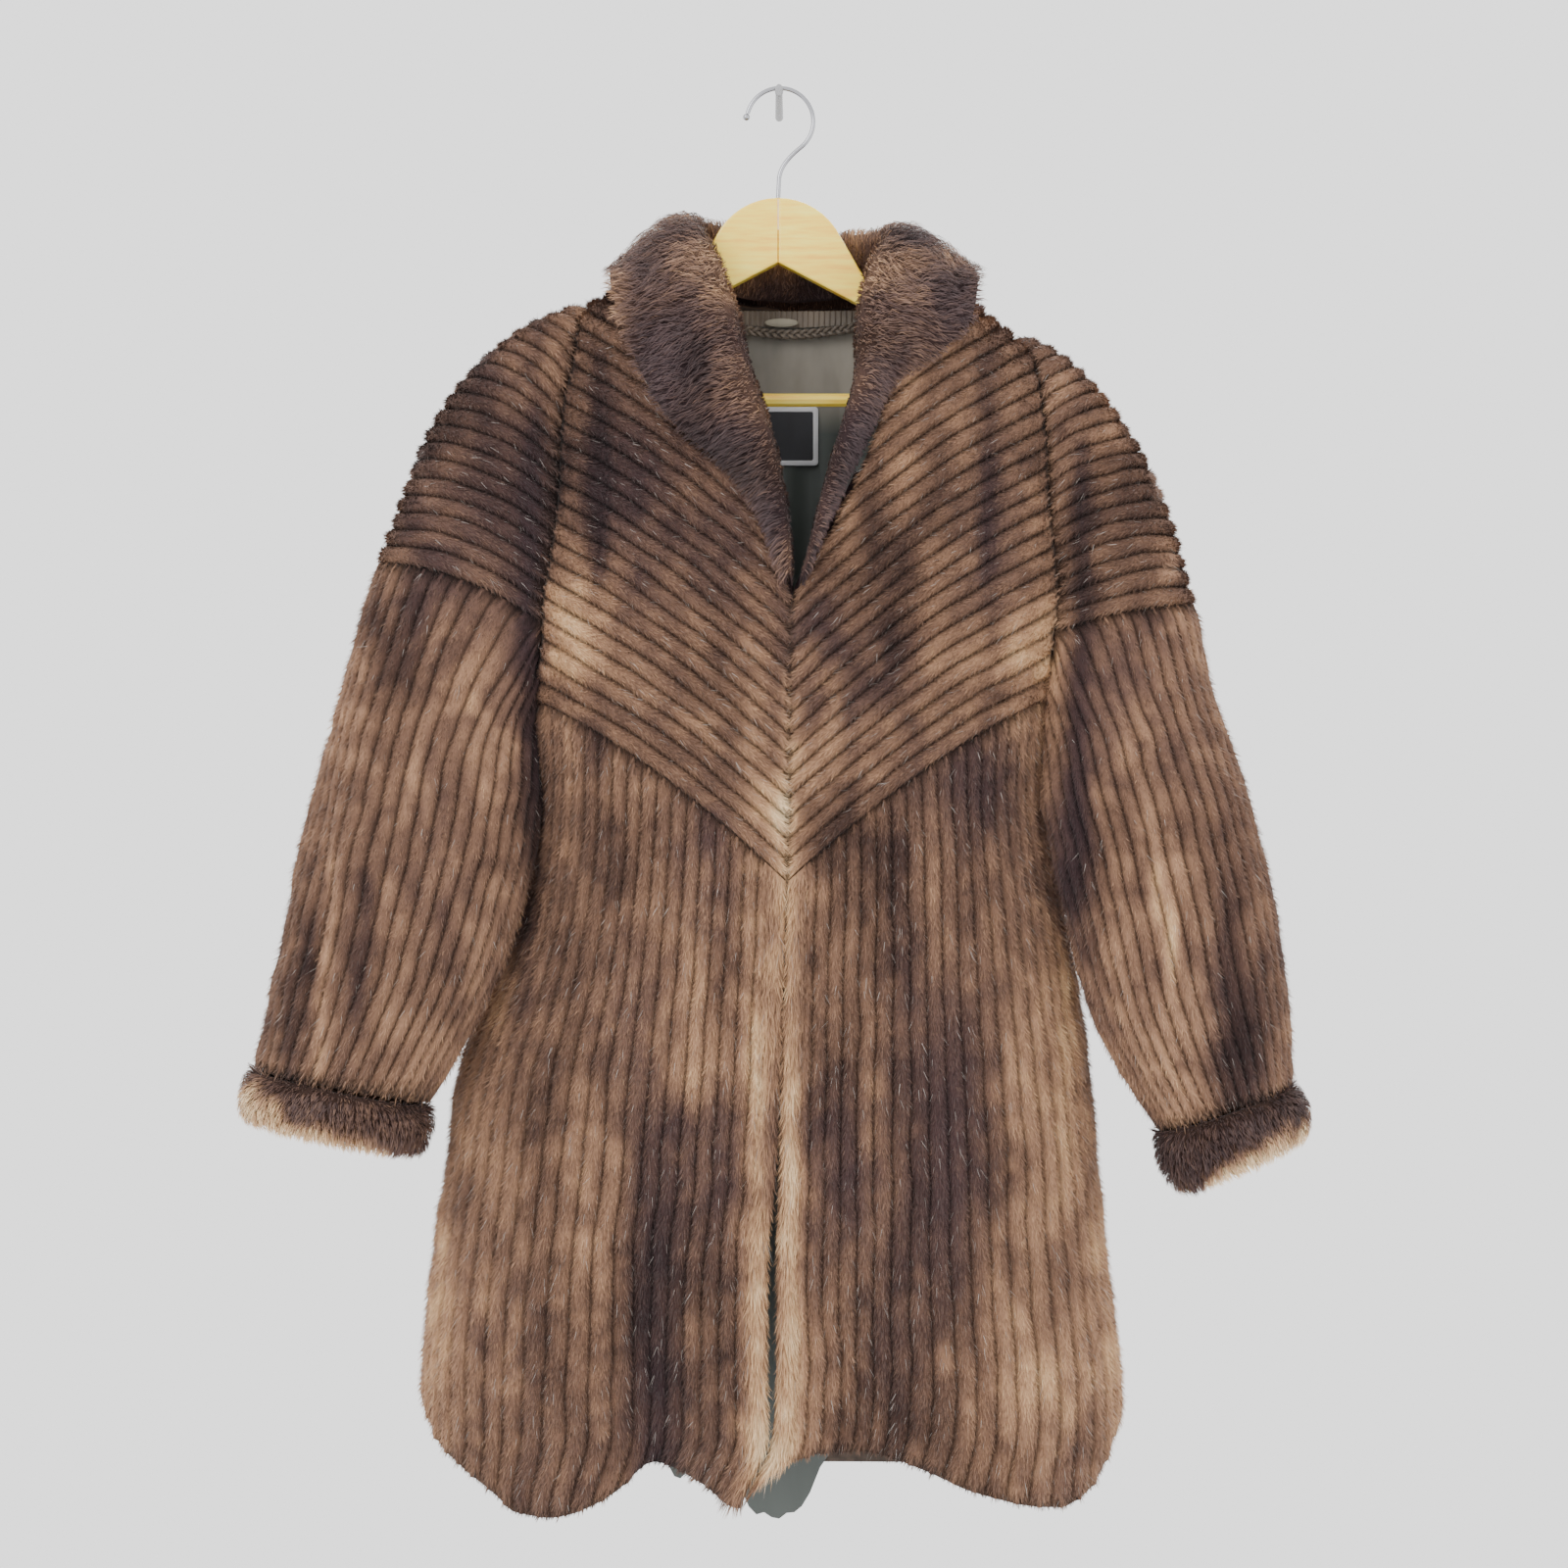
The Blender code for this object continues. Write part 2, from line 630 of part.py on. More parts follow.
def sleeve_surface(side):
    """Skin points and pile directions of one lower sleeve."""

    def surface(cord, t):
        v = (SEAM / 2 + t * (SLEEVE_LENGTH - SEAM / 2 - CUFF_GAP)) / SLEEVE_LENGTH
        u = cord / SLEEVE_CORDS
        inner = np.maximum(np.cos(2 * math.pi * u), 0) ** 1.5
        press = 1 - inner * (0.55 * smooth(2.2 - v / 0.17) + 0.3 * smooth(1 - v / 0.06))
        return sleeve_point(u, v, side), sleeve_normal(u, v, side), press

    return surface


# Walls ---------------------------------------------------------------------------------------------------


def rim(outer, inner):
    """Faces between a fine and a coarse row of point numbers whose ends agree."""
    faces = []
    ratio = (len(outer) - 1) // (len(inner) - 1)
    for j in range(len(inner) - 1):
        first = j * ratio
        middle = first + (ratio + 1) // 2
        faces += [(outer[m], outer[m + 1], inner[j]) for m in range(first, middle)]
        faces.append((outer[middle], inner[j + 1], inner[j]))
        faces += [(outer[m], outer[m + 1], inner[j + 1]) for m in range(middle, first + ratio)]
    return faces


def grid_faces(index):
    """Quads of a grid of point numbers."""
    quads = np.stack([index[:-1, :-1], index[1:, :-1], index[1:, 1:], index[:-1, 1:]], -1)
    return [tuple(q) for q in quads.reshape(-1, 4).tolist()]


def corded_wall(name, surface, cords, columns, step, closed=False):
    """A wall with one raised cord for each strip outside and a plain, coarser inside.

    surface(cord, t) gives skin points, pile directions and how much of the pile is left. Two lines make a
    cord: a groove on each whole number and a crest between them. Every step-th line is also an inner line.
    """
    lines = np.arange(0, 2 * cords + (0 if closed else 1)) / 2.0
    spots = lines.copy()
    if not closed:
        spots[0] += SEAM / 2 / CORD_WIDTH
        spots[-1] -= SEAM / 2 / CORD_WIDTH
    cord, place = np.meshgrid(spots, np.linspace(0, 1, columns), indexing="ij")
    points, normals, press = surface(cord, place)
    crest = np.sin(math.pi * np.mod(lines, 1))[:, None] ** 2
    ends = np.minimum(1, 0.35 + smooth(np.minimum(place, 1 - place) / 0.06))
    pile = (PILE_VALLEY + (PILE_PEAK - PILE_VALLEY) * crest * ends) * press
    outer = points + normals * pile[..., None]
    inner = (points - normals * SKIN)[::step]
    out_index = np.arange(outer[..., 0].size).reshape(outer.shape[:2])
    in_index = np.arange(inner[..., 0].size).reshape(inner.shape[:2]) + out_index.size
    if closed:
        out_index = np.concatenate([out_index, out_index[:1]])
        in_index = np.concatenate([in_index, in_index[:1]])
    faces = grid_faces(out_index) + grid_faces(in_index)
    for end in (0, -1):
        faces += rim(out_index[:, end].tolist(), in_index[:, end].tolist())
        if not closed:
            faces += rim(out_index[end].tolist(), in_index[end].tolist())
    return new_mesh(name, np.concatenate([outer.reshape(-1, 3), inner.reshape(-1, 3)]), faces, "fur")


def plain_wall(name, front, back, colour):
    """A closed wall between two equal grids of points."""
    index = np.arange(front[..., 0].size).reshape(front.shape[:2])
    faces = grid_faces(index) + grid_faces(index + index.size)
    border = [*index[:, 0], *index[-1, 1:], *index[-2::-1, -1], *index[0, -2:0:-1]]
    around = [int(i) for i in border]
    for a, b in zip(around, around[1:] + around[:1]):
        faces.append((a, b, b + index.size, a + index.size))
    return new_mesh(name, np.concatenate([front.reshape(-1, 3), back.reshape(-1, 3)]), faces, colour)


def loft(name, rings, colour, around=False):
    """A closed solid through rings of equal count: capped at both ends, or joined round to its start."""
    rings = np.asarray(rings)
    index = np.arange(rings[..., 0].size).reshape(rings.shape[:2])
    index = np.concatenate([index, index[:, :1]], axis=1)
    if around:
        index = np.concatenate([index, index[:1]])
    faces = grid_faces(index)
    if not around:
        faces += [tuple(index[0, :-1].tolist()), tuple(index[-1, :-1].tolist())]
    return new_mesh(name, rings.reshape(-1, 3), faces, colour)


# Objects -------------------------------------------------------------------------------------------------


def material(name, colour):
    """Principled material of one sub-part."""
    made = bpy.data.materials.new(name)
    made.use_nodes = True
    shader = made.node_tree.nodes["Principled BSDF"]
    shader.inputs["Base Color"].default_value = COLOURS[colour]
    shader.inputs["Roughness"].default_value = ROUGHNESS.get(colour, FUR_ROUGHNESS)
    shader.inputs["Metallic"].default_value = 1.0 if colour == "chrome" else 0.0
    made.diffuse_color = COLOURS[colour]
    return made


def finish(obj, colour):
    """Gives an object its material and its place in the collection."""
    obj.data.materials.append(material(obj.name, colour))
    COLLECTION.objects.link(obj)
    return obj


def new_mesh(name, points, faces, colour):
    """An object from points and faces, with its faces turned outward."""
    mesh = bpy.data.meshes.new(name)
    mesh.from_pydata(points.tolist(), [], faces)
    shape = bmesh.new()
    shape.from_mesh(mesh)
    bmesh.ops.recalc_face_normals(shape, faces=shape.faces)
    shape.to_mesh(mesh)
    shape.free()
    mesh.shade_smooth()
    mesh.set_sharp_from_angle(angle=math.radians(50))
    return finish(bpy.data.objects.new(name, mesh), colour)


def outline_solid(name, points, half_thick, bevel, colour):
    """A flat outline in the XZ plane, filled and extruded to both sides of y = 0, with rounded edges."""
    curve = bpy.data.curves.new(name, "CURVE")
    curve.dimensions = "2D"
    curve.fill_mode = "BOTH"
    curve.extrude = half_thick - bevel
    curve.bevel_depth = bevel
    curve.bevel_resolution = 1
    curve.offset = -bevel
    spline = curve.splines.new("POLY")
    spline.points.add(len(points) - 1)
    for point, (x, z) in zip(spline.points, points):
        point.co = (x, z, 0, 1)
    spline.use_cyclic_u = True
    obj = bpy.data.objects.new(name, curve)
    obj.rotation_euler = (math.pi / 2, 0, 0)
    return finish(obj, colour)


def wire(name, points, radius, colour, resolution=2):
    """A round wire along a polyline."""
    curve = bpy.data.curves.new(name, "CURVE")
    curve.dimensions = "3D"
    curve.bevel_depth = radius
    curve.bevel_resolution = resolution
    curve.use_fill_caps = True
    spline = curve.splines.new("POLY")
    spline.points.add(len(points) - 1)
    for point, place in zip(spline.points, points):
        point.co = (*place, 1)
    return finish(bpy.data.objects.new(name, curve), colour)


# The coat's pieces ---------------------------------------------------------------------------------------


def make_body():
    """Yokes and skirts, front and back."""
    for side in SIDES:
        corded_wall(f"front_yoke_{side}", yoke_surface(side, "front"), YOKE_CORDS, columns=9, step=4)
        corded_wall(f"back_yoke_{side}", yoke_surface(side, "back"), BACK_YOKE_CORDS, columns=7, step=4)
        corded_wall(f"front_skirt_{side}", front_skirt_surface(side), SKIRT_CORDS, columns=8, step=3)
    corded_wall("back_skirt", back_skirt_surface, BACK_SKIRT_CORDS, columns=6, step=4)


def make_sleeves():
    """Caps, lower sleeves and cuffs."""
    for side in SIDES:
        corded_wall(f"sleeve_cap_{side}", cap_surface(side), CAP_CORDS, columns=11, step=3)
        surface = sleeve_surface(side)
        corded_wall(f"sleeve_lower_{side}", surface, SLEEVE_CORDS, columns=8, step=3, closed=True)
        make_cuff(side)


# Cuff section: share of its length below the sleeve's end, and height above the sleeve's skin in mm.
CUFF_PROFILE = ((0.015, -1), (0.015, 9), (0.2, 12.5), (0.5, 14), (0.8, 12), (1, 7), (0.99, 1), (0.75, -2))


def make_cuff(side):
    """Fluffy band round the sleeve's end: a rounded profile carried round the last ring."""
    rows = SLEEVES[side]
    outer = np.array([rows["outer_x"][-1], rows["outer_z"][-1]])
    inner = np.array([rows["inner_x"][-1], rows["inner_z"][-1]])
    centre, across = (outer + inner) / 2, (inner - outer) / 2
    half = np.linalg.norm(across)
    across = across / half
    down = np.array([across[1], -across[0]])
    down = down * -np.sign(down[1])
    far, near = CUFF_LENGTHS[side]
    rings = []
    for angle in np.linspace(0, 2 * math.pi, CUFF_SIDES, endpoint=False):
        reach = far + (near - far) * (0.5 + 0.5 * math.cos(angle))
        ring = []
        for length, height in CUFF_PROFILE:
            ring_x = (half + height * MM) * math.cos(angle)
            ring_y = (rows["depth"][-1] + height * MM) * math.sin(angle)
            at = centre + across * ring_x + down * length * reach
            ring.append((at[0], rows["y"][-1] - ring_y, at[1]))
        rings.append(ring)
    loft(f"cuff_{side}", rings, "fur_dark", around=True)


def collar_profile(row, side):
    """One section of the collar, from the inner seam over the crest to the outer edge.

    A cubic curve through the crest at its middle; its two handles are spread to round the crest.
    """
    points = []
    for part in ("in", "top", "out"):
        x = row["middle"] + SIDES[side] * row[part + "_x"]
        points.append(np.array([x, row[part + "_y"], row[part + "_z"]]))
    start, crest, end = points
    crest[2] -= COLLAR_TILT * (crest[0] - row["middle"])
    handle = (crest - (start + end) / 8) / 0.75
    spread = (end - start) * row["roll"]
    t = np.linspace(0, 1, 9)[:, None]
    near, far = 3 * t * (1 - t) ** 2, 3 * t * t * (1 - t)
    return start * (1 - t) ** 3 + (handle - spread) * near + (handle + spread) * far + end * t**3


def make_collar():
    """One wall that rises from the neck seam, rolls over its crest and lies on the yoke."""
    rows = table(COLLAR, COLLAR_COLUMNS)
    rows["s"] = np.arange(len(COLLAR), dtype=float)
    stations = np.linspace(0, len(COLLAR) - 1, 16)
    sections, thickness = [], []
    for side in ("left", "right"):
        order = stations if side == "left" else stations[-2::-1]
        for s in order:
            row = {k: float(along(rows, np.array(s), "s", k)) for k in COLLAR_COLUMNS}
            sections.append(collar_profile(row, side))
            thickness.append(row["thick"])
    middle = np.array(sections)
    along_path = np.gradient(middle, axis=0)
    over = np.gradient(middle, axis=1)
    normals = unit(np.cross(along_path, over))
    half = np.array(thickness)[:, None, None] / 2
    taper = 0.45 + 0.55 * np.sin(math.pi * np.linspace(0, 1, 9)[None, :, None]) ** 0.5
    plain_wall("collar", middle + normals * half * taper, middle - normals * half * taper, "fur_dark")


def make_facings():
    """Dark fur strips behind the front edges, where the V of the neck shows them."""
    z = np.linspace(-0.345, -0.47, 8)
    for side, sign in SIDES.items():
        edge = along(EDGE, z, "z", side)
        opening = along(EDGE, z, "z", "right") - along(EDGE, z, "z", "left")
        lip = np.minimum(0.004, opening / 2 - 0.0004)
        inset = np.linspace(0, 1, 4)[None, :]
        x = (edge - sign * lip)[:, None] + sign * (0.022 + lip[:, None]) * inset
        centre = along(EDGE, z, "z", "centre")[:, None]
        psi = np.arcsin(np.clip((x - centre) * sign / half_width(z, side)[:, None], -1, 1))
        skin = body(psi, z[:, None], side, "front")
        out = body_normal(np.abs(psi), z[:, None], side, "front")
        near = skin - out * (SKIN + 0.0006)
        far = skin - out * (SKIN + 0.0056 + 0.001 * np.sin(math.pi * inset[..., None]))
        plain_wall(f"front_facing_{side}", near, far, "fur_dark")


def lining_points(x, z, depth):
    """Points of the inside of the back, this far in from the skin."""
    points = np.zeros(np.broadcast(x, z).shape + (3,))
    centre = along(EDGE, z, "z", "centre")
    for side, sign in SIDES.items():
        mine = ((x - centre) * sign >= 0)[..., None]
        psi = np.arcsin(np.clip((x - centre) * sign / half_width(z, side), 0, 1))
        place = body(psi, z, side, "back") - body_normal(psi, z, side, "back") * depth
        points = np.where(mine, place, points)
    return points


def lining_hem(share):
    """Height of the lining's lower edge, by the share of the way to either side.

    Two bits hang lower: a broad one near the centre and a narrow one on the left.
    """
    x = share * np.where(share < 0, 0.245, 0.235) - 0.01
    broad = 0.058 * np.exp(-(((x - 0.012) / 0.028) ** 4))
    narrow = 0.03 * np.exp(-(((x + 0.064) / 0.014) ** 2))
    return -1.018 - broad - narrow + 0.06 * np.abs(share) ** 6


def make_lining():
    """Satin on the inside of the back, with the bits that hang below the front hem."""
    across = np.linspace(-0.84, 0.84, 19)
    down = np.linspace(0, 1, 11) ** 1.4
    share, t = np.meshgrid(across, down, indexing="ij")
    hem = lining_hem(share)
    z = LINING_TOP + (hem - LINING_TOP) * t
    side_x = np.where(share < 0, along(SECTION, z, "z", "left"), along(SECTION, z, "z", "right"))
    armhole = 1 - 0.16 * smooth((z + 0.46) / 0.04) * smooth((-0.165 - z) / 0.03)
    top = np.clip((z + 0.19) / 0.03, 0, 1)
    centre = along(EDGE, z, "z", "centre")
    x = centre + (side_x - centre) * np.abs(share) * armhole * (1 - 0.25 * top)
    skin_gap = SKIN + LINING_GAP
    outer, inner = lining_points(x, z, skin_gap), lining_points(x, z, skin_gap + LINING)
    plain_wall("lining_back", outer, inner, "satin")


def neck_depth(z):
    """Depth in y of the lining's face at the back neck."""
    return float(lining_points(np.array(NECK_MIDDLE), np.array(z), SKIN + LINING_GAP + LINING)[1])


def make_neck_trim():
    """Pleated strip, braided cord, hanging tab and label on the inside of the back neck."""
    x = np.linspace(NECK_LEFT, NECK_RIGHT, 2 * PLEATS + 1)
    fold = PLEAT_DEPTH * (np.arange(len(x)) % 2)
    bow = ((x - NECK_MIDDLE) / (NECK_RIGHT - NECK_MIDDLE)) ** 2
    grid = np.zeros((len(x), 2, 3))
    for row in (0, 1):
        grid[:, row, 0] = x
        grid[:, row, 1] = neck_depth(-0.158) - PLEAT_DEPTH - fold - NECK_BOW * bow
        grid[:, row, 2] = STRIP_TOP - (STRIP_HEIGHT + 0.004 * (1 - bow)) * row
    plain_wall("neck_strip", grid, grid - np.array([0, 0.0009, 0]), "satin")
    make_braid()
    angle = np.linspace(0, 2 * math.pi, 20, endpoint=False)
    tab_x, tab_z = TAB_HALF_WIDTH * np.cos(angle), TAB_HALF_HEIGHT * np.sin(angle)
    tab_y = np.full(20, neck_depth(-0.158) - 0.0058)
    tab = np.stack([0.0018 + tab_x, tab_y, -0.1675 + tab_z], -1)
    loft("hanging_tab", [tab, tab - np.array([0, LINING, 0])], "satin")
    make_label()


def make_braid():
    """Braided cord under the strip: a tube that swells once for every crossing."""
    s = np.linspace(0, 1, BRAID_STATIONS)
    x = NECK_LEFT + (NECK_RIGHT - NECK_LEFT) * s
    z = -0.1695 - 0.0065 * np.sin(math.pi * s)
    y = neck_depth(-0.172) - 0.0062 - 0.0045 * (2 * s - 1) ** 2
    radius = (0.0026 + 0.0007 * np.abs(np.sin(12 * math.pi * s)))[:, None]
    angle = np.linspace(0, 2 * math.pi, 6, endpoint=False)
    x = x[:, None] + 0 * angle
    rings = np.stack([x, y[:, None] + radius * np.cos(angle), z[:, None] + 1.1 * radius * np.sin(angle)], -1)
    loft("neck_braid", rings, "satin")


def make_label():
    """Plain label on the lining, with round corners."""
    wide, high = LABEL_HALF_WIDTH - LABEL_CORNER, LABEL_HALF_HEIGHT - LABEL_CORNER
    y = min(neck_depth(-0.23), neck_depth(-0.275)) - 0.0018
    ring = []
    for side, up, start in ((1, 1, 0), (-1, 1, 90), (-1, -1, 180), (1, -1, 270)):
        for degrees in range(start, start + 91, 30):
            a = math.radians(degrees)
            x = LABEL_CENTRE[0] + side * wide + LABEL_CORNER * math.cos(a)
            z = LABEL_CENTRE[1] + up * high + LABEL_CORNER * math.sin(a)
            ring.append((x, y, z))
    loft("label", [ring, np.array(ring) - np.array([0, 0.001, 0])], "label")


# The hanger ----------------------------------------------------------------------------------------------


def make_hanger():
    """Two wooden arms that meet on a centre joint, and the trouser bar between their knuckles."""
    hump = []
    for degrees in range(90, 24, -8):
        a = math.radians(degrees)
        hump.append((HUMP_RADIUS * math.cos(a), HUMP_CENTRE_Z + HUMP_RADIUS * math.sin(a)))
    rest = [(x * MM, z * MM) for x, z in ARM_TOP + ARM_END + ARM_UNDER]
    for side, sign in SIDES.items():
        points = [(JOINT_X + sign * max(x, 0.0002), z) for x, z in hump + rest]
        outline_solid(f"hanger_arm_{side}", points, WOOD_THICK / 2, WOOD_EDGE, "wood")
    ends = (JOINT_X - 0.1575, JOINT_X + 0.1575)
    wire("trouser_bar", [(ends[0], 0, BAR_Z), (ends[1], 0, BAR_Z)], BAR_RADIUS, "wood", resolution=3)


def make_hook():
    """Chrome wire: a round hook over the peg, then a stem down to the wood."""
    centre = (0.0007, WIRE_RADIUS + 0.0002 - HOOK_RADIUS)
    points = []
    for degrees in range(166, -50, -12):
        a = math.radians(degrees)
        points.append((centre[0] + HOOK_RADIUS * math.cos(a), centre[1] + HOOK_RADIUS * math.sin(a)))
    start = np.array(points[-1])
    bend, end = np.array([0.0006, start[1] - 0.0125]), np.array([0.0, -0.066])
    for t in np.linspace(0.2, 1, 5):
        points.append(tuple((1 - t) ** 2 * start + 2 * t * (1 - t) * bend + t * t * end))
    points.append((JOINT_X, HUMP_CENTRE_Z + HUMP_RADIUS + 0.0004))
    wire("hook", [(x, 0, z) for x, z in points], WIRE_RADIUS, "chrome")
    away = unit(np.array(points[0]) - np.array(points[1])) * (BALL_RADIUS + 0.0004)
    ball = bpy.data.meshes.new("hook_ball")
    shape = bmesh.new()
    bmesh.ops.create_uvsphere(shape, u_segments=12, v_segments=8, radius=BALL_RADIUS)
    shape.to_mesh(ball)
    shape.free()
    ball.shade_smooth()
    tip = finish(bpy.data.objects.new("hook_ball", ball), "chrome")
    tip.location = (points[0][0] + away[0], 0, points[0][1] + away[1])


def make_peg():
    """Small peg from the wall: a shaft that the hook rests on, and an upright rounded head.

    Each size is a depth with the half width and half height there.
    """
    angle = np.linspace(0, 2 * math.pi, 16, endpoint=False)
    centre_z = -0.0027
    sizes = (
        (WALL_Y, 0.0031, 0.0031),
        (-0.0042, 0.0024, 0.0024),
        (-0.0046, 0.0031, 0.0050),
        (-0.0074, 0.0029, 0.0047),
        (-0.0084, 0.0016, 0.0034),
    )
    rings = []
    for y, wide, high in sizes:
        shift = 0.0012 if high > 0.0032 else 0.0
        rings.append([(wide * math.cos(a), y, centre_z + shift + high * math.sin(a)) for a in angle])
    loft("wall_peg", rings, "peg")


for old in list(bpy.data.objects):
    bpy.data.objects.remove(old, do_unlink=True)
COLLECTION = bpy.data.collections.new("fur coat on a hanger")
bpy.context.scene.collection.children.link(COLLECTION)

make_body()
make_sleeves()
make_collar()
make_facings()
make_lining()
make_neck_trim()
make_hanger()
make_hook()
make_peg()
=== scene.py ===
"""Looks of a corded mink coat on a wooden hanger: fur, satin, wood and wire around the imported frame.

Metres, +Z up, +X to the viewer's right, +Y into the wall. The fur panels are worked out from the coat's own
sections, as numpy grids, and are covered with joined meshes of short tapered hairs.
"""

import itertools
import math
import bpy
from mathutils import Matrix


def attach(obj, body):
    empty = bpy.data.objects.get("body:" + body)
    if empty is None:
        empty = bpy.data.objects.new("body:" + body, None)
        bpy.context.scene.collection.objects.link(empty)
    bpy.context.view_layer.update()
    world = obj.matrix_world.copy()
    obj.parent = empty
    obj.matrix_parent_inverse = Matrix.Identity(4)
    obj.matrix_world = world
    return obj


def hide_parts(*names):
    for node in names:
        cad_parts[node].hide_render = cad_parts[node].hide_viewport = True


bl_info = {
    "name": "Corded Fur Coat",
    "version": (1, 0, 0),
    "blender": (4, 5, 0),
    "location": "View3D > Sidebar > Coat",
    "description": "Fur, satin, wood and wire of a corded mink coat on a hanger",
    "category": "Add Mesh",
}

import bmesh
import bpy
import numpy as np
from bpy.props import FloatProperty, FloatVectorProperty, IntProperty, PointerProperty

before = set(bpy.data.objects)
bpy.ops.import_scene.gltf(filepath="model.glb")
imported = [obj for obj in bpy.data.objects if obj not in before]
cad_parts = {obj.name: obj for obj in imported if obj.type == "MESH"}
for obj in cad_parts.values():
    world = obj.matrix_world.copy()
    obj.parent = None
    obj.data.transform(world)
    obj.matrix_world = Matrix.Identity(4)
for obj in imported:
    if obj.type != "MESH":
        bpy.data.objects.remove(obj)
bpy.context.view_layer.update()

MM = 0.001
SEAM = 0.0010            # gap between two panels at a seam
YOKE_SAG = 0.0008        # what the gap under the yoke grows by at the side
SKIN = 0.0015            # leather below the skin surface
CORD_WIDTH = 0.014       # about, for the gap along a cord
LINING = 0.0012          # thickness of the satin
LINING_GAP = 0.004       # from the leather to the satin
AXIS_Y = 0.008           # depth of the plane through the side seams and the shoulder ridge
FULLNESS = 0.35          # how much fuller than an ellipse a section is
GIRTH_RADIUS = 0.16      # about, at the armhole, for lengths round the body
FRONT_DEPTH = 0.11       # radius of the front's and of the back's sections at the side seam
BACK_DEPTH = 0.07
SEAM_BLEND = 0.022       # from the armhole, where the pile turns to the seam's own direction

ARMHOLE_SHARE = 0.19     # part of the sleeve's upper edge, front and back, that lies along the armhole

YOKE_CORDS = 24
BACK_YOKE_CORDS = 28
YOKE_PITCH = 0.0151      # height of one chevron cord on the centre front
YOKE_TIP = -0.5867       # lowest point of the chevron yoke
CHEVRON_RISE = 0.95      # slope of a chevron cord at the centre front
CHEVRON_BEND = 1.21      # how fast it flattens outward, per metre
SKIRT_CORDS = 21         # upright cords on each front
BACK_SKIRT_CORDS = 44
CAP_CORDS = 18
SLEEVE_CORDS = 36

# The coat's sections: height, x of the left and right sides, depth of front and back from AXIS_Y.
SECTION_COLUMNS = ("z", "left", "right", "front", "back")
SECTIONS = (
    (-134, -54, 68, 20, 20),
    (-146, -90, 98, 33, 32),
    (-154, -112, 118, 42, 37),
    (-163, -134, 137, 50, 41),
    (-171, -146, 148, 55, 43),
    (-180, -156, 160, 58, 44),
    (-190, -163, 174, 61, 45),
    (-201, -168, 190, 62, 46),
    (-214, -174, 206, 64, 47),
    (-254, -180, 219, 69, 48),
    (-312, -183, 222, 74, 49),
    (-356, -190, 227, 77, 50),
    (-385, -195, 229, 78, 50),
    (-412, -190, 218, 79, 50),
    (-428, -186, 209, 80, 50),
    (-449, -178, 198, 80, 50),
    (-516, -173, 190, 80, 50),
    (-590, -181, 199, 80, 50),
    (-662, -202, 210, 79, 50),
    (-735, -230, 222, 78, 50),
    (-808, -242, 231, 78, 50),
    (-881, -253, 238, 78, 50),
    (-954, -259, 248, 79, 50),
    (-1060, -256, 247, 80, 50),
)

# Angle of the armhole seam round the section, left and right: 90 is the side.
ARMHOLE_COLUMNS = ("z", "left", "right")
ARMHOLE = (
    (-165, 90, 90),
    (-167, 82, 90),
    (-173, 74, 90),
    (-180, 70, 90),
    (-187, 66, 90),
    (-189, 66, 83),
    (-193, 65, 79),
    (-202, 63, 73),
    (-214, 61, 66),
    (-230, 62, 63),
    (-250, 62, 62),
    (-312, 62, 62),
    (-390, 62, 62),
    (-412, 66, 66),
    (-428, 71, 71),
    (-440, 77, 77),
    (-447, 84, 84),
    (-449, 90, 90),
)

# The two front edges, from the neckline to the hem, and the centre line that the cords are measured from.
EDGE_COLUMNS = ("z", "left", "right", "centre")
EDGES = (
    (-134, -74, 91, 8),
    (-146, -74, 91, 8),
    (-173, -63, 90, 8),
    (-212, -46, 84, 8),
    (-263, -30, 70, 8),
    (-299, -17, 55, 8),
    (-334, -4, 37, 8),
    (-366, 5, 19, 8.5),
    (-390, 8.1, 9.0, 8.6),
    (-587, 5.3, 6.1, 5.7),
    (-735, 0.2, 1.4, 0.8),
    (-808, -3.5, 0, -1.5),
    (-850, -8, -1.5, -4.5),
    (-950, -9, -2.5, -5.5),
    (-990, -8, -5.5, -7),
    (-1035, -26.5, -24.5, -25.5),
    (-1060, -30, -28, -29),
)

# The back neck: its middle and half width, lowest height, rise to the shoulders and tilt to the right.
NECKLINE_MIDDLE = 0.0085
NECKLINE_HALF = 0.0825
NECKLINE_LOW = -0.156
NECKLINE_RISE = 0.0065
NECKLINE_TILT = 0.0035

# Height of the front hem along x, and of the back hem.
HEM_COLUMNS = ("x", "z")
FRONT_HEM = (
    (-262, -966),
    (-252, -994),
    (-232, -1013),
    (-207, -1032),
    (-193, -1044),
    (-165, -1046),
    (-120, -1029),
    (-92, -1009),
    (-55, -1020),
    (-26, -1037),
    (-22, -1029),
    (24, -1000),
    (60, -1001),
    (105, -1012),
    (145, -1030),
    (208, -1042),
    (234, -1022),
    (250, -985),
)
BACK_HEM = ((-262, -966), (-240, -1004), (-180, -1030), (0, -1034), (180, -1034), (230, -1014), (248, -985))

# Soft troughs in the front: x at the hem, half width, depth, height where each fades out.
TROUGH_COLUMNS = ("x", "width", "depth", "top")
TROUGHS = (
    (-92, 34, 26, -760),
    (66, 42, 24, -800),
    (158, 26, 9, -700),
    (-196, 24, 10, -780),
)
TROUGH_END = -1.03       # height at which they are deepest

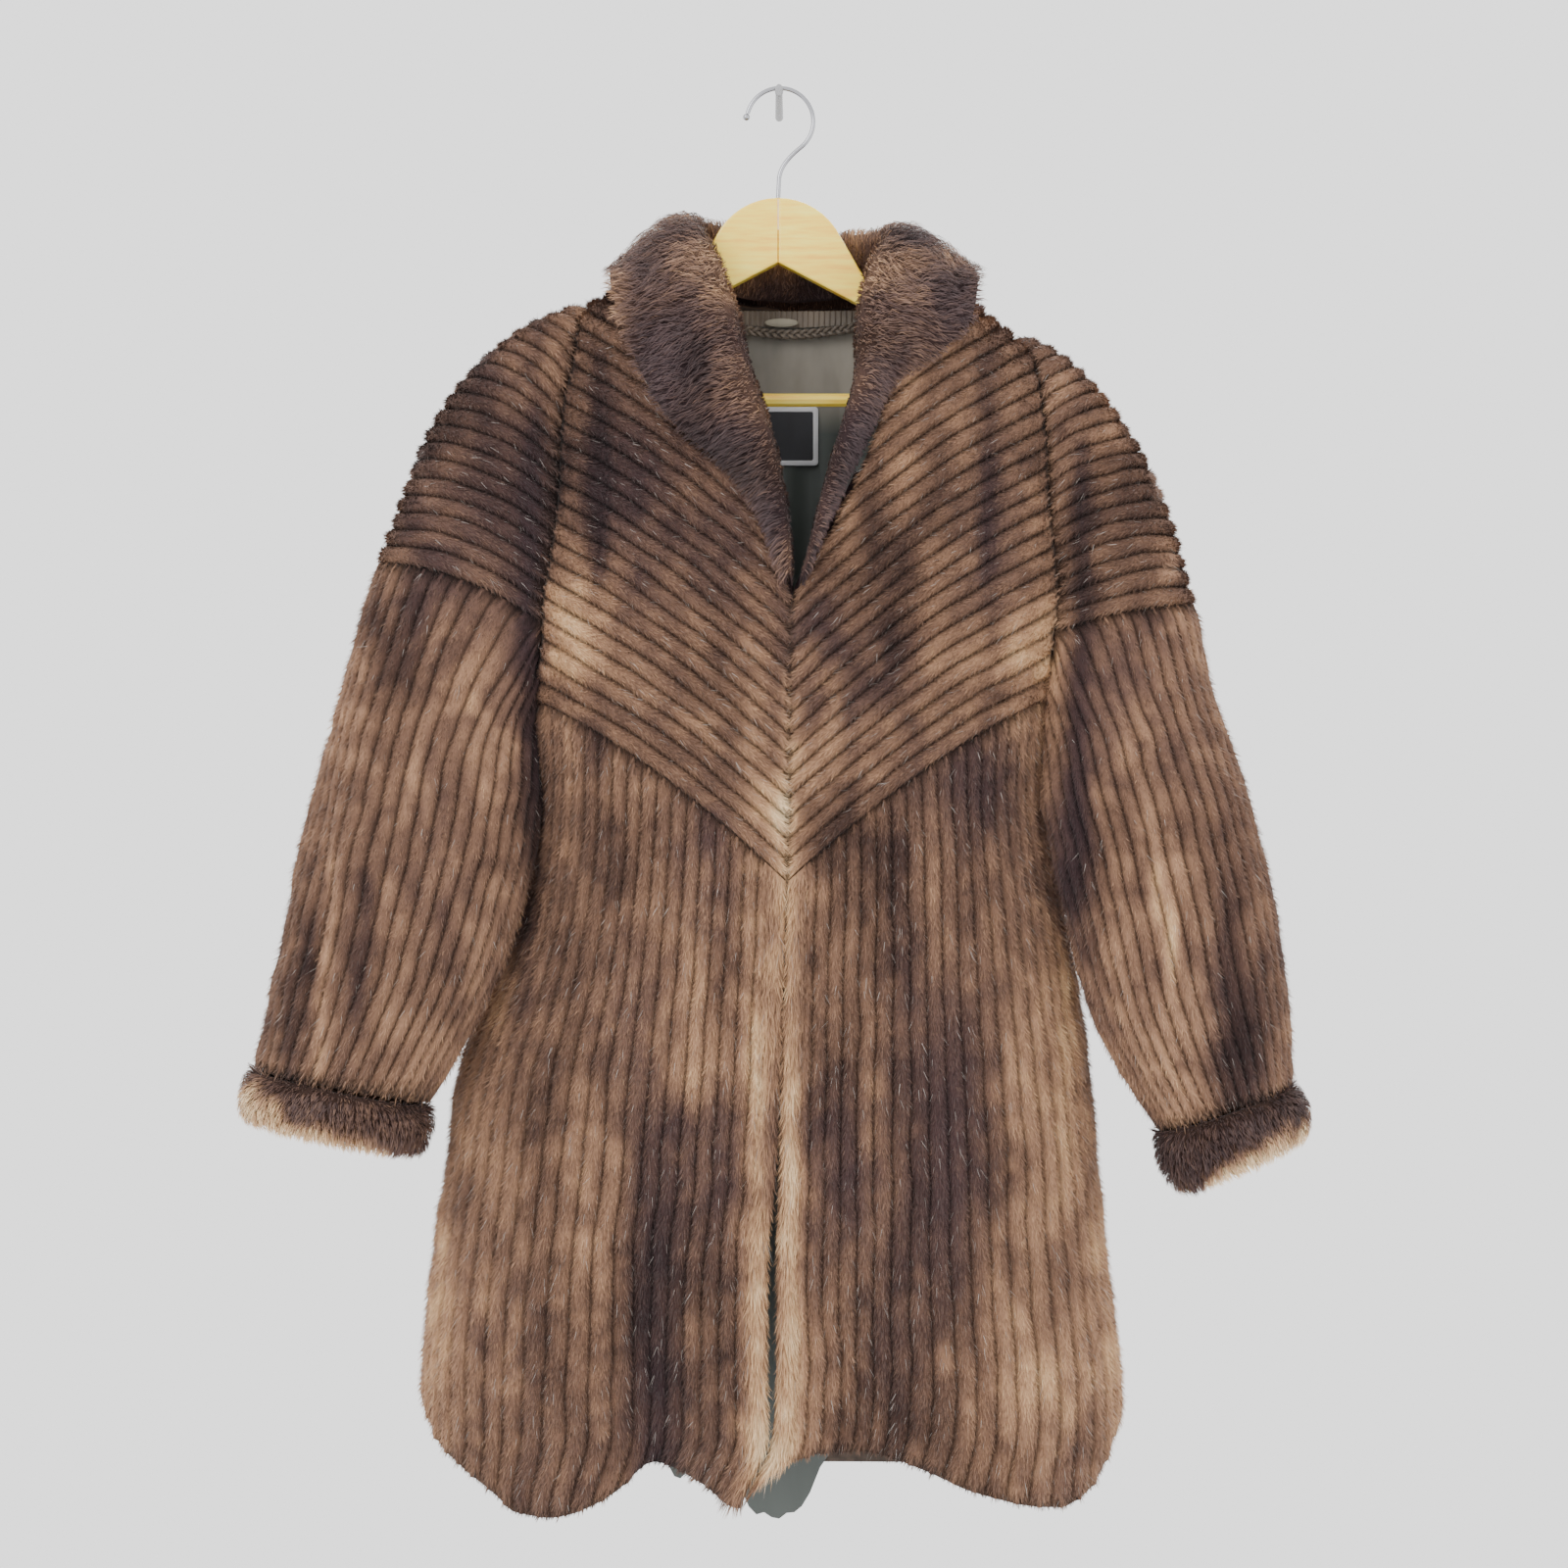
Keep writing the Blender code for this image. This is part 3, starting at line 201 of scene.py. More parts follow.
# The outermost line of each sleeve cap, from the shoulder down: x and z, with the depth of that line.
CAP_COLUMNS = ("x", "z", "y")
CAP_LEFT = (
    (-149, -168, 8),
    (-180, -181, 6),
    (-212, -203, 3),
    (-235, -228, 1),
    (-250, -251, -1),
    (-267, -290, -3),
    (-282, -331, -5),
    (-292, -355, -6),
)
CAP_RIGHT = (
    (182, -189, 8),
    (201, -201, 7),
    (221, -218, 4),
    (242, -243, 1),
    (262, -274, -2),
    (279, -310, -4),
    (291, -348, -6),
    (301, -385, -7),
)
CAP_SEAM_LEFT = (-167, -399)     # heights on the armhole where the cap starts and ends
CAP_SEAM_RIGHT = (-189, -405)
CAP_BULGE = 0.8
CAP_LENGTH = 0.23        # about, over the shoulder

# Lower sleeves, from the cap to the cuff: outer and inner side, centre depth and half depth.
SLEEVE_COLUMNS = ("outer_x", "outer_z", "inner_x", "inner_z", "y", "depth")
SLEEVE_LEFT = (
    (-292, -355, -187, -440, 8, 42),
    (-313, -431, -184, -488, -4, 41),
    (-329, -492, -183, -520, -14, 42),
    (-342, -547, -186, -551, -24, 42),
    (-358, -640, -207, -632, -38, 40),
    (-370, -698, -233, -691, -41, 34),
    (-377, -726, -264, -750, -39, 28),
)
SLEEVE_RIGHT = (
    (301, -385, 212, -440, 8, 42),
    (316, -453, 201, -483, -4, 41),
    (328, -492, 201, -512, -14, 42),
    (338, -529, 205, -537, -24, 42),
    (356, -611, 221, -613, -38, 40),
    (366, -690, 248, -703, -41, 34),
    (368, -738, 284, -768, -39, 28),
)
SLEEVE_LENGTH = 0.4      # about, from the cap to the cuff
CUFF_GAP = 0.0022        # the sleeve's flared end stops this far above the cuff
UNDERARM_STEP = 0.013    # how far the sleeve's edge stands outside the armhole at its lowest point
CUFF_LENGTHS = {"left": (0.035, 0.035), "right": (0.036, 0.045)}    # at its outer and inner side
CUFF_SIDES = 72
CUFF_STATIONS = 15       # down the cuff, for its hair

# Collar, from its end in the V to the centre back: the middle between its two sides, then half width,
# depth and height of the inner seam, of the crest that it rolls over, and of the outer edge, then thickness
# and, in thousandths, how far the crest is rounded.
COLLAR_COLUMNS = (
    "middle", "in_x", "in_y", "in_z", "top_x", "top_y", "top_z",
    "out_x", "out_y", "out_z", "thick", "roll",
)
COLLAR = (
    (12, 2.5, -80, -374, 5, -88, -366, 10, -85, -374, 2, 300),
    (16, 10, -71, -334, 12, -91, -330, 29, -84, -340, 5, 300),
    (17, 24, -62, -285, 25, -91, -281, 63, -80, -292, 9, 200),
    (16, 42, -53, -237, 43, -87, -228, 103, -74, -241, 10, 150),
    (13, 62, -42, -190, 51, -75, -182, 124, -64, -190, 11, 150),
    (11, 78, -26, -153, 60, -56, -144, 134, -42, -149, 10, 240),
    (10, 84, -8, -134, 75, -24, -108, 131, -6, -134, 9, 330),
    (10, 79, 18, -137, 74, 14, -100, 111, 41, -136, 9, 400),
    (10, 40, 33, -149, 42, 40, -102, 62, 63, -152, 9, 600),
    (10, 0, 39, -152, 0, 45, -103, 0, 68, -158, 9, 800),
)
COLLAR_TILT = 0.05       # how much lower the crest is on the right than on the left, by its width


def table(rows, columns):
    """Columns of a table in millimetres, as arrays in metres."""
    values = np.array(rows, float) * MM
    return {name: values[:, i] for i, name in enumerate(columns)}


def along(data, at, key, value):
    """A table's value column at the given places of its key column, joined smoothly between the rows."""
    order = np.argsort(data[key])
    x, y = data[key][order], data[value][order]
    slope = np.gradient(y, x)
    at = np.clip(at, x[0], x[-1])
    i = np.clip(np.searchsorted(x, at) - 1, 0, len(x) - 2)
    span = x[i + 1] - x[i]
    t = (at - x[i]) / span
    rise = y[i + 1] - y[i]
    limit = 2.2 * rise / span
    m0, m1 = (
        np.where(m * limit > 0, np.minimum(np.abs(m), np.abs(limit)) * np.sign(limit), 0)
        for m in (slope[i], slope[i + 1])
    )
    return (
        y[i] + rise * t * t * (3 - 2 * t)
        + span * (m0 * t * (1 - t) ** 2 - m1 * t * t * (1 - t))
    )


SECTION = table(SECTIONS, SECTION_COLUMNS)
SEAMS = table(ARMHOLE, ARMHOLE_COLUMNS)
SEAMS.update({side: np.radians(SEAMS[side] / MM) for side in ("left", "right")})
EDGE = table(EDGES, EDGE_COLUMNS)
HEM = {"front": table(FRONT_HEM, HEM_COLUMNS), "back": table(BACK_HEM, HEM_COLUMNS)}
TROUGH = table(TROUGHS, TROUGH_COLUMNS)
SIDES = {"left": -1.0, "right": 1.0}


def smooth(t):
    """0 to 1 with level ends."""
    t = np.clip(t, 0, 1)
    return t * t * (3 - 2 * t)


def unit(vectors):
    """Vectors of length 1."""
    return vectors / np.maximum(np.linalg.norm(vectors, axis=-1, keepdims=True), 1e-12)


# The body of the coat ------------------------------------------------------------------------------------


def half_width(z, side):
    """Distance from the centre line to the coat's side at height z."""
    return np.abs(along(SECTION, z, "z", side) - along(EDGE, z, "z", "centre"))


def troughs(x, z):
    """How far back the front is pressed by its soft troughs, growing from nothing down to the hem."""
    total = np.zeros(np.broadcast(x, z).shape)
    for at, width, depth, top in zip(TROUGH["x"], TROUGH["width"], TROUGH["depth"], TROUGH["top"]):
        grown = smooth((top - z) / (top - TROUGH_END))
        total = total + depth * grown * np.exp(-(((x - at) / width) ** 2))
    return total


def body(psi, z, side, face):
    """Skin of the coat: at angle psi from the centre line (0) to the side (90 degrees), at height z.

    x runs as the sine of psi times the half width and y as its cosine times the depth, made a little
    fuller than an ellipse.
    """
    psi, z = np.broadcast_arrays(psi, z)
    x = along(EDGE, z, "z", "centre") + SIDES[side] * half_width(z, side) * np.sin(psi)
    full = np.cos(psi) * (1 + FULLNESS * np.sin(psi) ** 2)
    if face == "front":
        y = AXIS_Y - along(SECTION, z, "z", "front") * full + troughs(x, z) * np.cos(psi)
    else:
        y = AXIS_Y + along(SECTION, z, "z", "back") * full
    return np.stack([x, y, z], -1)


def body_normal(psi, z, side, face):
    """Outward direction of body(), from small steps along and across it."""
    step = 0.002
    psi = np.clip(psi, step, math.pi / 2)
    by_psi = body(psi + step, z, side, face) - body(psi - step, z, side, face)
    by_z = body(psi, z + step, side, face) - body(psi, z - step, side, face)
    turn = SIDES[side] * (1 if face == "front" else -1)
    return unit(np.cross(by_psi, by_z)) * turn


def seam_angle(z, side):
    """Angle of the armhole seam at height z, or the side where there is no armhole."""
    outside = (z > SEAMS["z"].max()) | (z < SEAMS["z"].min())
    return np.where(outside, math.pi / 2, along(SEAMS, z, "z", side))


def seam_point(z, side, face):
    """Skin of the coat at the armhole seam."""
    return body(seam_angle(z, side), z, side, face)


def seam_normal(z, side, face):
    """Direction shared by yoke and sleeve cap at the armhole: halfway between the body's and straight out."""
    own = body_normal(seam_angle(z, side), z, side, face)
    weight = smooth((SEAMS["z"].max() - z) / 0.03) * smooth((z - SEAMS["z"].min()) / 0.04)
    out = np.zeros_like(own)
    out[..., 1] = -1 if face == "front" else 1
    return unit(own + out * weight[..., None])


PRESS_ANGLE = 52         # degrees from the centre line at which the sleeve starts to press on the body
PRESS_TOP = -0.398       # height at which it starts, and how far below the armhole it ends
PRESS_REACH = 0.16


def body_press(psi, z):
    """Share of the pile that is left where the body's side is pressed by the sleeve."""
    low = SEAMS["z"].min()
    near_side = smooth((psi - math.radians(PRESS_ANGLE)) / math.radians(22))
    at_height = smooth((PRESS_TOP - z) / 0.02) * smooth((z - low + PRESS_REACH) / 0.09)
    deepest = smooth((z - low + 0.03) / 0.02)
    return 1 - near_side * at_height * (0.5 + 0.35 * deepest)


CHEVRON_STEPS = 40       # steps of correction, and the share of the error that each takes away
CHEVRON_STEP = 0.4
COLUMN_STEPS = 12        # the same for the ends of a skirt's cords
YOKE_SAMPLES = 721       # points at which a chevron line is tried


def chevron(distance):
    """Rise of a chevron cord at this distance from the centre line."""
    return CHEVRON_RISE * distance - CHEVRON_BEND * distance**2


def chevron_height(cord, psi, side):
    """Height at which chevron line number cord crosses the angle psi, by fixed steps of correction."""
    z = YOKE_TIP + cord * YOKE_PITCH + chevron(half_width(YOKE_TIP, side) * np.sin(psi))
    for _ in range(CHEVRON_STEPS):
        across = half_width(z, side) * np.sin(psi)
        z = z + CHEVRON_STEP * (YOKE_TIP + cord * YOKE_PITCH + chevron(across) - z)
    return z


def neckline(x):
    """Height of the back neck at x: a shallow dip that tilts down to the right, like the shoulders."""
    away = (x - NECKLINE_MIDDLE) / NECKLINE_HALF
    return NECKLINE_LOW + NECKLINE_RISE * away**2 - NECKLINE_TILT * away


def yoke_line(cord, t, side, face):
    """Angles along one chevron line, at the shares t of its length inside the yoke."""
    psi = np.linspace(0, math.pi / 2, YOKE_SAMPLES)
    points = body(psi, chevron_height(cord, psi, side), side, face)
    inside = psi <= seam_angle(points[:, 2], side)
    if face == "front":
        inside &= (points[:, 0] - along(EDGE, points[:, 2], "z", side)) * SIDES[side] >= 0
    else:
        inside &= points[:, 2] <= neckline(points[:, 0])
    first = np.argmax(inside)
    last = first + (np.argmin(inside[first:]) or len(psi) - first) - 1
    length = np.concatenate([[0], np.cumsum(np.linalg.norm(np.diff(points, axis=0), axis=1))])
    start = length[first] + (SEAM / 2 if face == "back" else 0)
    end = length[last] - SEAM
    return np.interp(start + (end - start) * t, length, psi)


def yoke_surface(side, face):
    """Skin points, pile directions and pile shares of one yoke, by cord number and place along the cord."""

    def surface(cord, t):
        psi = np.array([yoke_line(c, row, side, face) for c, row in zip(cord[:, 0], t)])
        z = chevron_height(cord, psi, side)
        points = body(psi, z, side, face)
        normals = body_normal(psi, z, side, face)
        near = smooth(1 - (seam_angle(z, side) - psi) * GIRTH_RADIUS / SEAM_BLEND)[..., None]
        at_seam = seam_angle(z, side) < math.radians(89)
        blended = unit(normals * (1 - near) + seam_normal(z, side, face) * near)
        return points, np.where(at_seam[..., None], blended, normals), body_press(psi, z)

    return surface


def equal_girth(q, z, side, face):
    """Angle psi at the fraction q of the girth between centre line and side, so cords are equally wide."""
    depth = along(SECTION, z, "z", face) * (1 + FULLNESS)
    wide = half_width(z, side)
    k = (wide - depth) / (wide + depth)
    return math.pi / 2 * (q - k * np.sin(math.pi * q) / math.pi)


def edge_angle(z, side):
    """Angle of the front edge at height z."""
    away = (along(EDGE, z, "z", side) - along(EDGE, z, "z", "centre")) * SIDES[side]
    return np.arcsin(np.clip(away / half_width(z, side), -0.9, 0.9))


def skirt_column(q, t, side, face):
    """Angle and height down one skirt cord, from the chevron to the hem, by fixed steps of correction.

    The yoke's edge runs straight between its columns, so the gap below it grows where that edge bends.
    """
    z = np.full(q.shape, YOKE_TIP)
    for _ in range(COLUMN_STEPS):
        psi = equal_girth(q, z, side, face)
        z = YOKE_TIP + chevron(half_width(z, side) * np.sin(psi)) - SEAM - YOKE_SAG * q * q
    top = z
    z = np.full(q.shape, -1.0)
    for _ in range(COLUMN_STEPS):
        x = body(equal_girth(q, z, side, face), z, side, face)[..., 0]
        z = 0.5 * z + 0.5 * along(HEM[face], x, "x", "z")
    z = top + (z - top) * t
    return equal_girth(q, z, side, face), z


def front_skirt_surface(side):
    """Skin points, pile directions and pile shares of one front skirt."""

    def surface(cord, t):
        q = cord / SKIRT_CORDS
        psi, z = skirt_column(q, t, side, "front")
        psi = psi + edge_angle(z, side) * (1 - q) - SEAM / 2 / FRONT_DEPTH * (q > 0.5)
        return body(psi, z, side, "front"), body_normal(psi, z, side, "front"), body_press(psi, z)

    return surface


def back_skirt_surface(cord, t):
    """Skin points, pile directions and pile shares of the back skirt, from its left side seam on."""
    q = cord / BACK_SKIRT_CORDS * 2 - 1
    halves = []
    for side in SIDES:
        psi, z = skirt_column(np.abs(q), t, side, "back")
        psi = psi - SEAM / 2 / BACK_DEPTH * (np.abs(q) > 0.5)
        halves.append((body(psi, z, side, "back"), body_normal(psi, z, side, "back"), body_press(psi, z)))
    return [
        np.where((q < 0).reshape(q.shape + (1,) * (left.ndim - 2)), left, right)
        for left, right in zip(*halves)
    ]


# Sleeves -------------------------------------------------------------------------------------------------

CAPS = {"left": table(CAP_LEFT, CAP_COLUMNS), "right": table(CAP_RIGHT, CAP_COLUMNS)}
CAP_SEAM = {"left": np.array(CAP_SEAM_LEFT) * MM, "right": np.array(CAP_SEAM_RIGHT) * MM}
SLEEVES = {"left": table(SLEEVE_LEFT, SLEEVE_COLUMNS), "right": table(SLEEVE_RIGHT, SLEEVE_COLUMNS)}


def by_length(rows, keys):
    """Fraction of the length along a table's points, one value a row."""
    points = np.stack([rows[k] for k in keys], -1)
    steps = np.linalg.norm(np.diff(points, axis=0), axis=1)
    return np.concatenate([[0], np.cumsum(steps)]) / steps.sum()


CAP_BLEND = 0.45         # radians from the armhole over which the cap's pile turns to the seam's direction
SLEEVE_CLIMB = 1.4       # power by which the sleeve's upper edge climbs the armhole
SLEEVE_PULL = 0.34       # share of the sleeve's length over which its rings are drawn to the upper edge
SLEEVE_FULLNESS = 0.22   # how much fuller than an ellipse its rings are


def cap_height(v, side):
    """Height on the armhole of the cap's fraction v."""
    return CAP_SEAM[side][0] + (CAP_SEAM[side][1] - CAP_SEAM[side][0]) * v


def cap_line(v, side):
    """Outermost point of the cap at fraction v of its length."""
    rows = dict(CAPS[side])
    rows["v"] = by_length(rows, ("x", "z"))
    return np.stack([along(rows, v, "v", k) for k in ("x", "y", "z")], -1)


def cap_point(phi, v, side):
    """Skin of the sleeve cap: phi runs from the front seam (0) over the arm (90 degrees) to the back seam.

    x grows with the sine of phi from the seam to the outermost line, y goes with its cosine, and the height
    keeps level at the outermost line and drops to the seam with the square of the way left.
    """
    phi, v = np.broadcast_arrays(phi, v)
    outer = cap_line(v, side)
    z = cap_height(v, side)
    seam = np.where((np.cos(phi) >= 0)[..., None], seam_point(z, side, "front"), seam_point(z, side, "back"))
    s = np.sin(phi)
    swell = np.abs(np.cos(phi)) * (1 + CAP_BULGE * s * s)
    return np.stack(
        [
            seam[..., 0] + (outer[..., 0] - seam[..., 0]) * s,
            outer[..., 1] + (seam[..., 1] - outer[..., 1]) * swell,
            outer[..., 2] + (z - outer[..., 2]) * (1 - s) ** 2,
        ],
        -1,
    )


def cap_normal(phi, v, side):
    """Outward direction of the cap, turned to the shared seam direction along the armhole."""
    step = 0.004
    before, after = np.clip(phi - step, 0, math.pi), np.clip(phi + step, 0, math.pi)
    by_phi = cap_point(after, v, side) - cap_point(before, v, side)
    by_v = cap_point(phi, np.clip(v + step, 0, 1), side) - cap_point(phi, np.clip(v - step, 0, 1), side)
    own = unit(np.cross(by_phi, by_v)) * -SIDES[side]
    z = cap_height(v, side)
    for face, from_seam in (("front", phi), ("back", math.pi - phi)):
        near = smooth(1 - from_seam / CAP_BLEND)[..., None]
        own = unit(own * (1 - near) + seam_normal(z, side, face) * near)
    return own


def cap_surface(side):
    """Skin points, pile directions and pile shares of one sleeve cap."""

    def surface(cord, t):
        v = cord / CAP_CORDS * (1 - SEAM / 2 / CAP_LENGTH)
        outer = cap_line(v, side)
        z = cap_height(v, side)
        seam = seam_point(z, side, "front")
        inset = 1.4 * SEAM / np.hypot(outer[..., 0] - seam[..., 0], 2 * (outer[..., 2] - z))
        phi = inset + (math.pi - 2 * inset) * t
        return cap_point(phi, v, side), cap_normal(phi, v, side), np.ones_like(phi)

    return surface


def sleeve_top(u, side):
    """Upper edge of the lower sleeve: the armhole from the underarm up to the cap, then the cap's edge."""
    u = np.mod(u, 1.0)
    far = np.where(u > 0.5, 1 - u, u)
    rise = np.clip(far / ARMHOLE_SHARE, 0, 1)
    low = SEAMS["z"].min() + SEAM
    z = low + (CAP_SEAM[side][1] - low) * rise**SLEEVE_CLIMB
    step = UNDERARM_STEP * (1 - smooth(rise)) * SIDES[side]
    seam = np.where((u > 0.5)[..., None], seam_point(z, side, "back"), seam_point(z, side, "front"))
    seam[..., 0] += step
    phi = (u - ARMHOLE_SHARE) / (1 - 2 * ARMHOLE_SHARE) * math.pi
    edge = cap_point(np.clip(phi, 0, math.pi), np.ones_like(u), side)
    return np.where((far < ARMHOLE_SHARE)[..., None], seam, edge)


def sleeve_ring(u, v, side):
    """Elliptical ring of the lower sleeve at fraction v of its length; u goes inner, front, outer, back."""
    rows = dict(SLEEVES[side])
    rows["v"] = by_length(rows, ("outer_x", "outer_z"))
    at = {k: along(rows, v, "v", k) for k in SLEEVE_COLUMNS}
    angle = 2 * math.pi * u
    across = np.cos(angle)
    return np.stack(
        [
            (at["outer_x"] + at["inner_x"]) / 2 + (at["inner_x"] - at["outer_x"]) / 2 * across,
            at["y"] - at["depth"] * np.sin(angle) * (1 + SLEEVE_FULLNESS * across**2),
            (at["outer_z"] + at["inner_z"]) / 2 + (at["inner_z"] - at["outer_z"]) / 2 * across,
        ],
        -1,
    )


def sleeve_point(u, v, side):
    """Skin of the lower sleeve: the rings, drawn to the upper edge over the first part of the length."""
    u, v = np.broadcast_arrays(u, v)
    pull = (np.clip(1 - v / SLEEVE_PULL, 0, 1) ** 2)[..., None]
    shift = sleeve_top(u, side) - sleeve_ring(u, np.zeros_like(v), side)
    return sleeve_ring(u, v, side) + shift * pull


def sleeve_normal(u, v, side):
    """Outward direction of the lower sleeve, turned to the cap's at the seam between them."""
    step = 0.004
    by_u = sleeve_point(u + step, v, side) - sleeve_point(u - step, v, side)
    by_v = sleeve_point(u, np.clip(v + step, 0, 1), side) - sleeve_point(u, np.clip(v - step, 0, 1), side)
    own = unit(np.cross(by_u, by_v)) * -SIDES[side]
    far = np.minimum(np.mod(u, 1), 1 - np.mod(u, 1))
    phi = np.clip((np.mod(u, 1) - ARMHOLE_SHARE) / (1 - 2 * ARMHOLE_SHARE), 0, 1) * math.pi
    shared = cap_normal(phi, np.ones_like(phi), side)
    near = smooth(1 - v / 0.08) * smooth((far - ARMHOLE_SHARE * 0.3) / (ARMHOLE_SHARE * 0.7))
    return unit(own * (1 - near[..., None]) + shared * near[..., None])


def sleeve_surface(side):
    """Skin points, pile directions and pile shares of one lower sleeve."""

    def surface(cord, t):
        v = (SEAM / 2 + t * (SLEEVE_LENGTH - SEAM / 2 - CUFF_GAP)) / SLEEVE_LENGTH
        u = cord / SLEEVE_CORDS
        inner = np.maximum(np.cos(2 * math.pi * u), 0) ** 1.5
        press = 1 - inner * (0.55 * smooth(2.2 - v / 0.17) + 0.3 * smooth(1 - v / 0.06))
        return sleeve_point(u, v, side), sleeve_normal(u, v, side), press

    return surface


# Noise and colour -----------------------------------------------------------------------------------------

LATTICE_SIZE = 32
LATTICE = np.random.default_rng(11).random((LATTICE_SIZE,) * 3) * 2 - 1


def cloud(points, size):
    """Smooth noise from -1 to 1: random numbers on a lattice of this spacing, blended between its corners."""
    place = points / np.asarray(size)
    low = np.floor(place).astype(int)
    share = smooth(place - low)
    total = np.zeros(points.shape[:-1])
    for corner in itertools.product((0, 1), repeat=3):
        step = np.array(corner)
        weight = np.prod(np.where(step == 1, share, 1 - share), axis=-1)
        i, j, k = np.moveaxis((low + step) % LATTICE_SIZE, -1, 0)
        total += weight * LATTICE[i, j, k]
    return total


def linear(red, green, blue):
    """A screen colour, 0 to 255, as linear light."""
    share = np.array((red, green, blue)) / 255
    return np.where(share <= 0.04045, share / 12.92, ((share + 0.055) / 1.055) ** 2.4)


# Fur colours from darkest to lightest, by tone.
PELT_TONES = (-1.2, -0.6, 0.0, 0.5, 1.0, 1.6)
PELT_COLOURS = np.array([
    linear(*screen) for screen in (
        (42, 28, 25), (77, 56, 48), (121, 91, 73), (161, 124, 97), (204, 164, 123), (240, 214, 172),
    )
])
MAUVE = linear(80, 62, 68)
MAUVE_SHARE = 0.45       # how far dark fur is drawn to it at the most
GUARD_HAIR = linear(226, 216, 208)
LEATHER_POINTS = linear(90, 70, 58)

# Soft clouds of tone all over the fur: what they add to the tone, their shift and their size.
TONE_CLOUDS = (
    (0.38, 0, (0.075, 0.09, 0.19)),
    (0.33, 3.1, (0.022, 0.03, 0.07)),
    (0.34, 7.7, 0.0095),
    (0.3, 2.2, (0.014, 0.014, 0.024)),
)
PELT_STEP = 0.2          # how much one pelt's tone differs from the next

# Lighter and darker places of the coat's front: centre, half width and half height in mm, tone and mauve.
# Most are the fur's own tone; the dark rows marked below are painted shade in creases and folds.
PATCHES = (
    (-152, -425, 24, 50, 0.9, 0.0),
    (182, -425, 26, 46, 0.8, 0.0),
    (3, -545, 12, 70, 1.15, 0.0),
    (28, -400, 26, 24, -0.6, 0.5),
    # painted shade in the left yoke's crease
    (-131, -300, 8, 90, -1.3, 0.3),
    (-110, -300, 20, 90, -0.35, 0.1),
    # painted shade in the right yoke's crease
    (152, -310, 8, 80, -0.9, 0.3),
    (-100, -300, 70, 45, -0.45, 0.1),
    (-60, -440, 60, 40, -0.15, 0.0),
    (60, -440, 60, 40, 0.0, 0.0),
    (-30, -330, 28, 40, -0.35, 0.2),
    (80, -300, 60, 45, 0.1, 0.0),
    (52, -490, 50, 25, 0.3, 0.0),
    (-60, -560, 42, 22, -0.3, 0.1),
    (60, -562, 42, 24, -0.35, 0.1),
    (138, -520, 28, 55, -0.5, 0.6),
    # painted shade in the folds at the armholes and between sleeve and body, left and right: the next four
    # rows
    (-182, -500, 9, 150, -1.8, 0.5),
    (-180, -310, 7, 70, -0.7, 0.3),
    (220, -500, 9, 130, -1.5, 0.4),
    (222, -310, 7, 70, -0.6, 0.3),
    (-135, -790, 22, 190, 0.65, 0.0),
    (-190, -800, 24, 160, 0.6, 0.0),
    (-45, -860, 18, 190, -0.35, 0.1),
    (-240, -950, 40, 80, 0.6, 0.0),
    (-88, -900, 24, 140, -1.0, 0.5),
    (-60, -760, 80, 16, -0.4, 0.1),
    (-185, -775, 20, 40, -0.3, 0.0),
    (-15, -800, 9, 190, 0.9, 0.0),
    (8, -790, 9, 190, 1.2, 0.0),
    (-4, -985, 22, 26, 0.7, 0.0),
    (40, -770, 28, 70, -0.3, 0.1),
    (76, -900, 44, 110, -0.35, 0.4),
    (120, -790, 24, 90, -0.55, 0.6),
    (190, -820, 36, 150, 0.4, 0.0),
    (204, -705, 8, 44, 0.7, 0.0),
    (190, -955, 60, 40, 0.55, 0.0),
    (-230, -320, 60, 80, -0.6, 0.1),
    (250, -330, 50, 60, -0.1, 0.1),
    (-282, -400, 24, 30, -0.5, 0.1),
    (271, -590, 5, 24, 1.1, 0.0),
    (282, -634, 5, 28, 1.1, 0.0),
    (254, -600, 24, 60, 0.25, 0.0),
    # painted shade in the deep fold of the right sleeve
    (326, -662, 14, 90, -1.0, 0.2),
    (345, -690, 12, 60, -0.4, 0.1),
    (-300, -560, 40, 120, 0.2, 0.0),
    (-320, -600, 6, 35, 0.75, 0.0),
    (-325, -650, 6, 35, 0.75, 0.0),
    (-330, -700, 6, 35, 0.75, 0.0),
    (-296, -610, 7, 35, -0.7, 0.2),
    (-303, -665, 7, 35, -0.7, 0.2),
    (-311, -715, 7, 30, -0.6, 0.2),
    (-338, -640, 6, 40, -0.6, 0.2),
    (-350, -700, 6, 40, -0.6, 0.2),
)


def fur_tone_and_shade(points, out, cord):
    """Tone and mauve share of the fur: soft patches on the front, some of them painted shade in creases and
    folds, pelts and streaks everywhere.
    """
    tone = sum(share * cloud(points + shift, size) for share, shift, size in TONE_CLOUDS)
    tone = tone + PELT_STEP * np.sin(cord * 12.9898) ** 3 + 0.05
    mauve = 0.15 + 0.5 * cloud(points + 5.3, (0.05, 0.06, 0.11))
    front = np.clip(0.5 - 1.4 * out[..., 1], 0, 1)
    for x, z, wide, high, amount, cool in PATCHES:
        away_x = (points[..., 0] - x * MM) / (wide * MM)
        away_z = (points[..., 2] - z * MM) / (high * MM)
        near = np.exp(-(away_x**2) - away_z**2) * front
        tone = tone + amount * near
        mauve = mauve + cool * near
    return tone, np.clip(mauve, 0, 1)


def settings_of(context):
    """The coat's settings of this scene."""
    return context.scene.corded_coat


def tint_of(finish):
    """The colour that a finish is multiplied by: white leaves it as it is."""
    return np.array(getattr(settings_of(bpy.context), finish + "_tint"))


